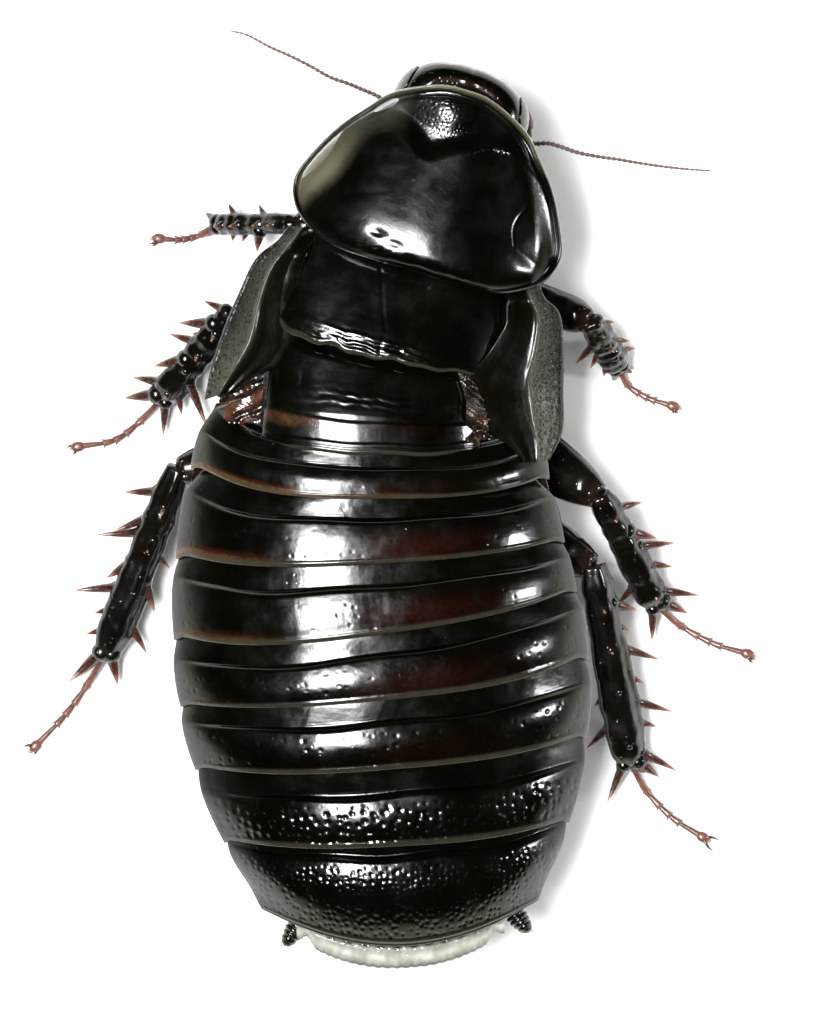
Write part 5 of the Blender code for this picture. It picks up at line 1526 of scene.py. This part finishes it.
def cloud(tree, where, scale, low, high, to_low=0.0, to_high=1.0, detail=3.0):
    """Noise, with its values from low to high spread from to_low to to_high."""
    return remap(tree, noise(tree, where, scale, detail), low, high, to_low, to_high)


DUST = (0.35, 0.33, 0.28, 1)


def cuticle(name, base, colours, rough, lip, pits=(3600.0, 0.3, 0.75), pit_depth=0.00003, coat=0.12,
            scratches=0.4, marked=True, dull=False):
    """A glossy cuticle with clouds of tint, fine pits, waves and hair scratches.

    lip holds the painted mask of the lips, its strength and its colour. Marked plates have red patches and
    amber margins, and dull ones are worn and dusty where they are painted so.
    """
    material, tree, shader, where = new_material(name)
    mask, strength, lip_colour = lip
    tint = use_group(tree, "Cuticle tint", Place=where, Base=rgba(base), Deep=shade(base, 0.45),
                     Patch_Colour=rgba(colours.patch), Patch=painted(tree, "warm") if marked else 0.0,
                     Margin_Colour=rgba(colours.amber), Margin=painted(tree, "amber") if marked else 0.0,
                     Lip_Colour=rgba(lip_colour),
                     Lip=calculate(tree, "MULTIPLY", painted(tree, mask), strength))
    wear = use_group(tree, "Cuticle wear", Place=where, Smooth=rough[0], Rough=rough[1], Scratches=scratches)
    dots = use_group(tree, "Cuticle pits", Place=where, Scale=pits[0], Size=pits[1], Share=pits[2])
    worn = painted(tree, "dull") if dull else 0.0
    amount = calculate(tree, "ADD", calculate(tree, "MULTIPLY", worn, 0.3), 0.02)
    dust = calculate(tree, "MULTIPLY", wear["Dust"], amount)
    worn_rough = calculate(tree, "ADD", wear["Roughness"], calculate(tree, "MULTIPLY", worn, 0.28), clamp=True)
    heights = [(dots["Height"], pit_depth, 0.7), (noise(tree, where, 900.0), 0.00003, 0.35),
               (noise(tree, where, 6500.0, 2.0), 0.000006, 0.35)]
    dress(tree, shader, mix_colour(tree, dust, tint["Colour"], DUST), worn_rough, heights,
          Coat_Weight=coat, Coat_Roughness=0.08, IOR=1.5)
    return material


def make_materials(colours):
    """Every finish of the model, by its plain name."""
    make_pit_group()
    make_tint_group()
    make_wear_group()
    black, brown = colours.cuticle, colours.brown
    return {
        "abdomen": cuticle("Abdomen cuticle", black, colours, (0.11, 0.21), ("lip", 0.6, colours.lip),
                           pits=(2600.0, 0.24, 0.15), pit_depth=0.000012, dull=True),
        "tail": cuticle("Tail plate cuticle", black, colours, (0.14, 0.26), ("rim", 0.95, colours.tail_rim_and_reflection),
                        dull=True),
        # The shield's pale olive lip colour is a painted reflection on its front lip and left flange
        "shield": cuticle("Shield cuticle", black, colours, (0.13, 0.22), ("lip", 0.8, (0.13, 0.12, 0.075)),
                          pits=(5200.0, 0.34, 0.6), pit_depth=0.000002, dull=True),
        "back": cuticle("Back cuticle", black, colours, (0.13, 0.22), ("lip", 0.6, colours.lip),
                        pits=(5200.0, 0.3, 0.5), pit_depth=0.000002, scratches=0.5),
        "head": cuticle("Head cuticle", black, colours, (0.12, 0.22), ("brown", 0.8, brown), pit_depth=0.00002,
                        marked=False),
        "belly": cuticle("Belly cuticle", colours.belly, colours, (0.2, 0.34), ("lip", 0.7, brown),
                         marked=False),
        "leg": cuticle("Leg cuticle", colours.leg, colours, (0.13, 0.26), ("red", 0.75, brown),
                       pits=(2600.0, 0.25, 0.6), coat=0.15, marked=False),
        "membrane": membrane_material(colours),
        "wing_pad": wing_pad_material(colours),
        "wing": wing_material(colours),
        "spine": spine_material(colours),
        "tarsus": foot_material("Foot cuticle", colours.foot, colours.foot_dark),
        "palp": foot_material("Palp cuticle", brown, colours.foot_dark),
        "antenna": feeler_material(colours),
        "pad": pale_material("Foot pads", colours.foot_pad, 0.6, 5000.0, 0.5, 0.0,
                             (12000.0, 2.0, 0.00002, 0.6)),
        "eye": eye_material(colours),
        "ocellus": pale_material("Pale simple eye", colours.foot_pad, 0.7, 6000.0, 0.2, 0.6,
                                 (9000.0, 3.0, 0.00001, 0.4)),
    }


def membrane_material(colours):
    """Soft joint skin, dull and finely creased."""
    material, tree, shader, where = new_material("Joint skin")
    colour = mix_colour(tree, cloud(tree, where, 700.0, 0.3, 0.7, detail=4.0), shade(colours.membrane, 0.5),
                        rgba(colours.membrane))
    creases = add_node(tree, "ShaderNodeTexWave", Scale=900.0, Distortion=6.0, Detail=3.0)
    creases.bands_direction = "Y"
    tree.links.new(where, creases.inputs["Vector"])
    dress(tree, shader, colour, cloud(tree, where, 1800.0, 0.3, 0.7, 0.38, 0.6),
          [(creases.outputs["Fac"], 0.00005, 0.5), (noise(tree, where, 4000.0), 0.00003, 0.5)])
    return material


# Pale olive grey of the painted sheen along the wing pads' keel
PAD_PAINTED_SHEEN = (0.075, 0.077, 0.055, 1)
PAD_DOT = (0.002, 0.002, 0.001, 1)


def wing_pad_material(colours):
    """Leathery fore wing: dark inside the keel, grey and thickly punctured outside it, with a painted sheen
    along the keel.
    """
    material, tree, shader, where = new_material("Wing pad leather")
    outside = painted(tree, "outside")
    outer = mix_colour(tree, cloud(tree, where, 1300.0, 0.35, 0.65, detail=4.0), shade(colours.pad_grey, 0.45),
                       rgba(colours.pad_grey))
    colour = mix_colour(tree, outside, shade(colours.cuticle, 1.3), outer)
    # The ridge mask lays the painted sheen along the keel
    colour = mix_colour(tree, painted(tree, "ridge"), colour, PAD_PAINTED_SHEEN)
    dots = use_group(tree, "Cuticle pits", Place=where, Scale=6000.0, Size=0.55, Share=0.95)
    dotted = calculate(tree, "MULTIPLY", dots["Pit"], outside)
    colour = mix_colour(tree, calculate(tree, "MULTIPLY", dotted, 0.85), colour, PAD_DOT)
    wear = use_group(tree, "Cuticle wear", Place=where, Smooth=0.14, Rough=0.24, Scratches=0.5)
    rough = calculate(tree, "ADD", wear["Roughness"], calculate(tree, "MULTIPLY", outside, 0.22), clamp=True)
    raised = calculate(tree, "SUBTRACT", 1.0, dotted)
    heights = [(raised, 0.00007, 1.0), (noise(tree, where, 2400.0, 4.0), 0.00004, 0.4)]
    dress(tree, shader, colour, rough, heights, Specular_IOR_Level=0.36, Coat_Weight=0.05, Coat_Roughness=0.18)
    return material


def wing_material(colours):
    """Torn amber wing membrane, darkened outside its light streaks: partly its own tone, partly a painted
    highlight on the fold crests and painted shade in the folds.
    """
    material, tree, shader, where = new_material("Torn wing")
    mottle = cloud(tree, where, 1500.0, 0.35, 0.65, detail=5.0)
    colour = mix_colour(tree, mottle, shade(colours.wing, 0.6), shade(colours.wing, 1.5))
    # The mask darkens the wing outside its streaks: partly its own tone, partly painted shade in the folds
    colour = mix_colour(tree, painted(tree, "vein"), colour, shade(colours.wing, 0.06))
    dress(tree, shader, colour, cloud(tree, where, 2600.0, 0.3, 0.7, 0.14, 0.3),
          [(noise(tree, where, 2600.0), 0.00003, 0.6)], Coat_Weight=0.6, Coat_Roughness=0.15)
    return material


def spine_material(colours):
    """Spine horn: near black at the foot, red-brown along it, and pale at the fine tip."""
    material, tree, shader, where = new_material("Spine horn")
    shift = calculate(tree, "SUBTRACT", noise(tree, where, 2500.0), 0.5)
    wander = calculate(tree, "ADD", painted(tree, "along"), calculate(tree, "MULTIPLY", shift, 0.3))
    colour = mix_colour(tree, remap(tree, wander, 0.0, 0.35), rgba(colours.spine_root), rgba(colours.spine))
    colour = mix_colour(tree, remap(tree, wander, 0.55, 1.0), colour, rgba(colours.spine_tip))
    mapping = add_node(tree, "ShaderNodeMapping", Scale=(1.0, 1.0, 0.4))
    tree.links.new(where, mapping.inputs["Vector"])
    dress(tree, shader, colour, cloud(tree, where, 5000.0, 0.3, 0.7, 0.16, 0.34),
          [(noise(tree, mapping.outputs["Vector"], 9000.0, 2.0), 0.00001, 0.5)], Coat_Weight=0.3,
          Subsurface_Weight=0.12, Subsurface_Radius=(1.0, 0.4, 0.2), Subsurface_Scale=0.0002)
    return material


def foot_material(name, colour_light, colour_dark):
    """Foot joints: red-brown and glossy, darker at each joint's root, with fine creases."""
    material, tree, shader, where = new_material(name)
    mottle = cloud(tree, where, 3000.0, 0.3, 0.7, 0.0, 0.5)
    dark = calculate(tree, "ADD", remap(tree, painted(tree, "joint"), 0.75, 0.0, 0.0, 0.6), mottle, clamp=True)
    dress(tree, shader, mix_colour(tree, dark, rgba(colour_light), rgba(colour_dark)),
          cloud(tree, where, 4200.0, 0.3, 0.7, 0.22, 0.4), [(noise(tree, where, 7000.0), 0.00002, 0.6)],
          Coat_Weight=0.25)
    return material


def feeler_material(colours):
    """Feeler beads: brown, with paler roots, fading towards the tip."""
    material, tree, shader, where = new_material("Feeler beads")
    pale = remap(tree, painted(tree, "joint"), 0.35, 0.02)
    colour = mix_colour(tree, pale, rgba(colours.feeler), shade(colours.feeler, 2.6))
    fade = remap(tree, painted(tree, "along"), 0.5, 1.0, 0.0, 0.6)
    colour = mix_colour(tree, fade, colour, shade(colours.feeler, 2.2))
    grain = cloud(tree, where, 9000.0, 0.3, 0.7, 0.0, 0.35)
    dress(tree, shader, mix_colour(tree, grain, colour, shade(colours.feeler, 0.3)),
          cloud(tree, where, 6000.0, 0.3, 0.7, 0.35, 0.55), [(noise(tree, where, 16000.0, 2.0), 0.00001, 0.6)])
    return material


def pale_material(name, colour, darker, scale, rough, coat, relief):
    """A soft pale part; relief holds its noise's scale and detail, its depth and its strength."""
    material, tree, shader, where = new_material(name)
    mottled = mix_colour(tree, cloud(tree, where, scale, 0.3, 0.7), shade(colour, darker), rgba(colour))
    grain, detail, depth, strength = relief
    heights = [(noise(tree, where, grain, detail), depth, strength)]
    dress(tree, shader, mottled, rough, heights, Coat_Weight=coat)
    return material


def eye_material(colours):
    """Black eyes with a net of fine facets."""
    material, tree, shader, where = new_material("Faceted eye")
    cells = add_node(tree, "ShaderNodeTexVoronoi", Scale=17000.0, Randomness=0.25)
    tree.links.new(where, cells.inputs["Vector"])
    dome = remap(tree, cells.outputs["Distance"], 0.0, 0.55, 1.0, 0.0)
    sheen = cloud(tree, where, 900.0, 0.35, 0.65, detail=2.0)
    tint = mix_colour(tree, sheen, rgba(colours.eye), shade(colours.eye, 2.0))
    colour = mix_colour(tree, remap(tree, dome, 0.0, 0.3), shade(colours.eye, 0.3), tint)
    dress(tree, shader, colour, remap(tree, dome, 0.0, 0.5, 0.45, 0.18), [(dome, 0.00001, 0.8)],
          Coat_Weight=0.5, Coat_Roughness=0.1)
    return material


def floor_material(colour):
    """Plain pale paper with the faintest tooth."""
    material, tree, shader, where = new_material("Pale paper floor")
    mottled = mix_colour(tree, cloud(tree, where, 60.0, 0.3, 0.7), shade(colour, 0.985), rgba(colour))
    heights = [(noise(tree, where, 4000.0, 4.0), 0.00001, 0.3)]
    dress(tree, shader, mottled, cloud(tree, where, 1500.0, 0.3, 0.7, 0.75, 0.9), heights)
    return material


def colour_setting(name, description, default):
    return bpy.props.FloatVectorProperty(name=name, description=description, subtype="COLOR", size=3, min=0.0,
                                         max=1.0, default=default)


class CockroachShape(bpy.types.PropertyGroup):
    """Sizes of the fine parts of the model."""

    pit_size: bpy.props.FloatProperty(
        name="Pit size", description="Factor on the width and depth of the pits in the back plates",
        subtype="FACTOR", min=0.0, max=2.0, default=1.0)
    bead_length: bpy.props.FloatProperty(
        name="Bead length", description="Length of one bead of the feelers", unit="LENGTH", min=0.0001,
        max=0.001, precision=5, default=0.00027)
    spine_radius: bpy.props.FloatProperty(
        name="Spine radius", description="Radius of a large spine near its root", unit="LENGTH", min=0.00005,
        max=0.0005, precision=5, default=0.00026)
    extra_spines: bpy.props.IntProperty(
        name="Extra spines", description="Small spines in each of a shin's four rows", min=0, max=8, default=4)


class CockroachColours(bpy.types.PropertyGroup):
    """Colours of the cuticle, the spines, the feet and the soft parts."""

    cuticle: colour_setting("Cuticle", "Black of the back plates, shield and head", (0.0009, 0.0009, 0.0002))
    belly: colour_setting("Belly", "Brown-black of the belly and the hips", (0.02, 0.010, 0.007))
    leg: colour_setting("Leg", "Black of the thighs and shins", (0.003, 0.0024, 0.0014))
    patch: colour_setting("Red patch", "Dull red in the middle of the back plates", (0.024, 0.004, 0.002))
    amber: colour_setting("Amber margin", "Thin hind margins of the first back plates", (0.095, 0.047, 0.022))
    lip: colour_setting("Lip", "Thin rims of the plates", (0.035, 0.032, 0.022))
    # Rim colour of the tail plate: partly its own pale colour, partly a painted reflection
    tail_rim_and_reflection: colour_setting("Tail rim", "Rim of the tail plate", (0.5, 0.51, 0.44))
    brown: colour_setting("Brown", "Mouthparts, knees and joints", (0.03, 0.012, 0.008))
    spine_root: colour_setting("Spine root", "Foot of a spine", (0.008, 0.004, 0.0035))
    spine: colour_setting("Spine", "Red-brown along a spine", (0.04, 0.013, 0.009))
    spine_tip: colour_setting("Spine tip", "Pale tip of a spine", (0.26, 0.13, 0.09))
    foot: colour_setting("Foot", "Light part of the foot joints", (0.16, 0.066, 0.046))
    foot_dark: colour_setting("Foot, dark", "Dark roots of the foot joints", (0.05, 0.018, 0.014))
    foot_pad: colour_setting("Foot pad", "Pads under the feet and the simple eyes", (0.45, 0.3, 0.2))
    feeler: colour_setting("Feeler", "Beads of the feelers", (0.075, 0.046, 0.04))
    wing: colour_setting("Torn wing", "Amber wing membrane", (0.06, 0.024, 0.013))
    pad_grey: colour_setting("Wing pad", "Grey outer field of the wing pads", (0.007, 0.007, 0.003))
    membrane: colour_setting("Joint skin", "Soft skin between the plates", (0.03, 0.017, 0.012))
    eye: colour_setting("Eye", "Faceted eyes", (0.009, 0.008, 0.0075))


class CockroachStudio(bpy.types.PropertyGroup):
    """Floor, lights and camera."""

    floor: colour_setting("Floor", "Paper under the insect", (0.93, 0.93, 0.93))
    key_power: bpy.props.FloatProperty(
        name="Softbox power", description="Power of the large softbox over the insect's left", unit="POWER",
        min=0.0, default=6.5)
    window_power: bpy.props.FloatProperty(
        name="Window power", description="Power of the narrow light on the insect's right", unit="POWER",
        min=0.0, default=1.1)
    paper_power: bpy.props.FloatProperty(
        name="Paper light", description="Power of the wide soft light that whitens the floor", unit="POWER",
        min=0.0, default=12.0)
    horizon: bpy.props.FloatProperty(
        name="Horizon glow", description="Brightness of the surroundings near the floor", min=0.0, default=2.0)
    zenith: bpy.props.FloatProperty(
        name="Zenith glow", description="Brightness of the surroundings overhead", min=0.0, default=0.01)
    camera_height: bpy.props.FloatProperty(
        name="Camera height", description="Height of the camera over the floor", unit="LENGTH", min=0.1,
        default=0.606)
    lens: bpy.props.FloatProperty(
        name="Lens", description="Focal length in millimetres over a 36 mm tall frame", min=10.0, default=421.9)


def finishes(context):
    """The materials, made once and then found again."""
    if not FINISHES:
        FINISHES.update(make_materials(context.scene.cockroach_colours))
    return FINISHES


FINISHES = {}


def raise_if_empty(before):
    if len(bpy.data.objects) == before:
        raise RuntimeError("the operator made no piece")


class PieceOperator:
    """What every operator of a piece shares: it calls its builders and insists on a result."""

    bl_options = {"REGISTER", "UNDO"}

    def execute(self, context):
        before = len(bpy.data.objects)
        for build in self.builders:
            build(context.scene.cockroach_shape, finishes(context))
        raise_if_empty(before)
        return {"FINISHED"}


class COCKROACH_OT_soft_skin(PieceOperator, bpy.types.Operator):
    """Build the soft skin under the plates"""

    bl_idname = "cockroach.soft_skin"
    bl_label = "Soft skin"
    builders = (build_membrane,)


class COCKROACH_OT_back_plates(PieceOperator, bpy.types.Operator):
    """Build the seven back plates of the abdomen"""

    bl_idname = "cockroach.back_plates"
    bl_label = "Back plates"
    builders = (build_tergites,)


class COCKROACH_OT_belly_plates(PieceOperator, bpy.types.Operator):
    """Build the plates of the belly and the breast"""

    bl_idname = "cockroach.belly_plates"
    bl_label = "Belly and breast plates"
    builders = (build_sternites, build_breast)


class COCKROACH_OT_tail(PieceOperator, bpy.types.Operator):
    """Build the rimmed tail plate, the plate below it and the tail feelers"""

    bl_idname = "cockroach.tail"
    bl_label = "Tail"
    builders = (build_tail_plates, build_cerci)


class COCKROACH_OT_thorax_plates(PieceOperator, bpy.types.Operator):
    """Build the plates of the middle and hind thorax"""

    bl_idname = "cockroach.thorax_plates"
    bl_label = "Thorax plates"
    builders = (build_nota,)


def build_wing_pads(shape, materials):
    """Both short fore wings."""
    build_tegmen("tegmen_left", ((4.5, -13.5), (5.1, -13.6)), TEGMEN_LEFT, 0.9, (-0.12, 0.58), 101, materials)
    build_tegmen("tegmen_right", ((-6.1, -11.3), (-7.3, -11.1)), TEGMEN_RIGHT, 0.5, (0.12, 0.6), 111, materials)


def build_torn_wings(shape, materials):
    """The rests of both hind wings."""
    build_torn_wing("wing_left", WING_LEFT, TEGMEN_LIFT - 0.9, 1.0, 121, materials)
    build_torn_wing("wing_right", WING_RIGHT, TEGMEN_LIFT - 0.3, 0.3, 125, materials)


class COCKROACH_OT_wings(PieceOperator, bpy.types.Operator):
    """Build the wing pads and the torn rests of the hind wings"""

    bl_idname = "cockroach.wings"
    bl_label = "Wings"
    builders = (build_wing_pads, build_torn_wings)


class COCKROACH_OT_shield(PieceOperator, bpy.types.Operator):
    """Build the domed shield and the body of the front ring below it"""

    bl_idname = "cockroach.shield"
    bl_label = "Shield"
    builders = (build_shield, build_front_underside)


class COCKROACH_OT_head(PieceOperator, bpy.types.Operator):
    """Build the head capsule, the eyes and the mouthparts"""

    bl_idname = "cockroach.head"
    bl_label = "Head"
    builders = (build_head, build_eyes, build_mouth)


class COCKROACH_OT_feelers(PieceOperator, bpy.types.Operator):
    """Build the beaded feelers"""

    bl_idname = "cockroach.feelers"
    bl_label = "Feelers"
    builders = (build_antennae,)


class COCKROACH_OT_legs(PieceOperator, bpy.types.Operator):
    """Build the hips, thighs, spiny shins and feet"""

    bl_idname = "cockroach.legs"
    bl_label = "Legs"
    builders = (build_hips, build_thighs, build_shins, build_feet)


FLOOR_REACH = 1.5
LIGHTS_AIM = (0.0, 0.004, 0.006)


def build_floor(studio):
    mesh = bpy.data.meshes.new("paper_floor")
    corners = [(x * FLOOR_REACH, y * FLOOR_REACH, 0) for x, y in ((-1, -1), (1, -1), (1, 1), (-1, 1))]
    mesh.from_pydata(corners, [], [(0, 1, 2, 3)])
    mesh.materials.append(floor_material(studio.floor))
    floor = bpy.data.objects.new("paper_floor", mesh)
    bpy.context.scene.collection.objects.link(floor)


def build_world(studio):
    """Surroundings that are bright near the floor and dark overhead."""
    world = bpy.data.worlds.new("Light tent")
    bpy.context.scene.world = world
    world.use_nodes = True
    tree = world.node_tree
    up = tree.nodes.new("ShaderNodeSeparateXYZ")
    tree.links.new(tree.nodes.new("ShaderNodeTexCoord").outputs["Generated"], up.inputs[0])
    glow = remap(tree, up.outputs["Z"], -0.05, 0.28, studio.horizon, studio.zenith)
    tree.links.new(glow, tree.nodes["Background"].inputs["Strength"])
    tree.nodes["Background"].inputs["Color"].default_value = (0.95, 1.0, 0.76, 1.0)


def add_light(name, place, aim, size, power):
    light = bpy.data.lights.new(name, "AREA")
    light.shape = "RECTANGLE"
    light.size, light.size_y = size
    light.energy = power
    lamp = bpy.data.objects.new(name, light)
    lamp.location = place
    lamp.rotation_euler = (Vector(aim) - Vector(place)).to_track_quat("-Z", "Y").to_euler()
    bpy.context.scene.collection.objects.link(lamp)
    return lamp


class COCKROACH_OT_stage(bpy.types.Operator):
    """Set up the pale floor, the soft lights and the camera"""

    bl_idname = "cockroach.stage"
    bl_label = "Studio"

    def execute(self, context):
        studio = context.scene.cockroach_studio
        build_floor(studio)
        build_world(studio)
        add_light("softbox", (0.165, 0.0, 0.65), LIGHTS_AIM, (0.25, 0.15), studio.key_power)
        add_light("softbox_rim", (0.165, 0.0, 0.66), LIGHTS_AIM, (0.38, 0.2), 0.3 * studio.key_power)
        add_light("narrow_window", (-0.52, -0.01, 0.3), LIGHTS_AIM, (0.055, 0.11), studio.window_power)
        wide = add_light("paper_light", (0.0, 0.0, 1.2), (0.0, 0.0, 0.0), (1.6, 1.6), studio.paper_power)
        wide.visible_glossy = False
        data = bpy.data.cameras.new("camera")
        data.sensor_fit = "VERTICAL"
        data.sensor_height = 36.0
        data.lens = studio.lens
        data.clip_start = 0.01
        camera = bpy.data.objects.new("camera", data)
        camera.location = (-0.00105, 0.0007, studio.camera_height)
        camera.rotation_euler = (0.0, 0.0, math.pi)
        context.scene.collection.objects.link(camera)
        context.scene.camera = camera
        context.scene.view_settings.view_transform = "Standard"
        if context.scene.camera is None:
            raise RuntimeError("the scene has no camera")
        return {"FINISHED"}


PIECES = (
    COCKROACH_OT_soft_skin, COCKROACH_OT_back_plates, COCKROACH_OT_belly_plates, COCKROACH_OT_tail,
    COCKROACH_OT_thorax_plates, COCKROACH_OT_wings, COCKROACH_OT_shield, COCKROACH_OT_head,
    COCKROACH_OT_feelers, COCKROACH_OT_legs, COCKROACH_OT_stage,
)


class COCKROACH_PT_panel(bpy.types.Panel):
    """Lists the settings and the pieces of the model"""

    bl_idname = "COCKROACH_PT_panel"
    bl_label = "Wood cockroach"
    bl_space_type = "VIEW_3D"
    bl_region_type = "UI"
    bl_category = "Cockroach"

    def draw(self, context):
        for setting, group in GROUPS:
            box = self.layout.box()
            for name in group.__annotations__:
                box.prop(getattr(context.scene, setting), name)
        for piece in PIECES:
            self.layout.operator(piece.bl_idname)


GROUPS = (("cockroach_shape", CockroachShape), ("cockroach_colours", CockroachColours),
          ("cockroach_studio", CockroachStudio))
CLASSES = (*[group for name, group in GROUPS], *PIECES, COCKROACH_PT_panel)


def register():
    for item in CLASSES:
        bpy.utils.register_class(item)
    for name, group in GROUPS:
        setattr(bpy.types.Scene, name, bpy.props.PointerProperty(type=group))


def unregister():
    for name, group in GROUPS:
        delattr(bpy.types.Scene, name)
    for item in reversed(CLASSES):
        bpy.utils.unregister_class(item)


def main():
    register()
    for piece in PIECES:
        family, action = piece.bl_idname.split(".")
        if getattr(getattr(bpy.ops, family), action)() != {"FINISHED"}:
            raise RuntimeError(f"{piece.bl_label} did not finish")


if __name__ == "__main__":
    main()
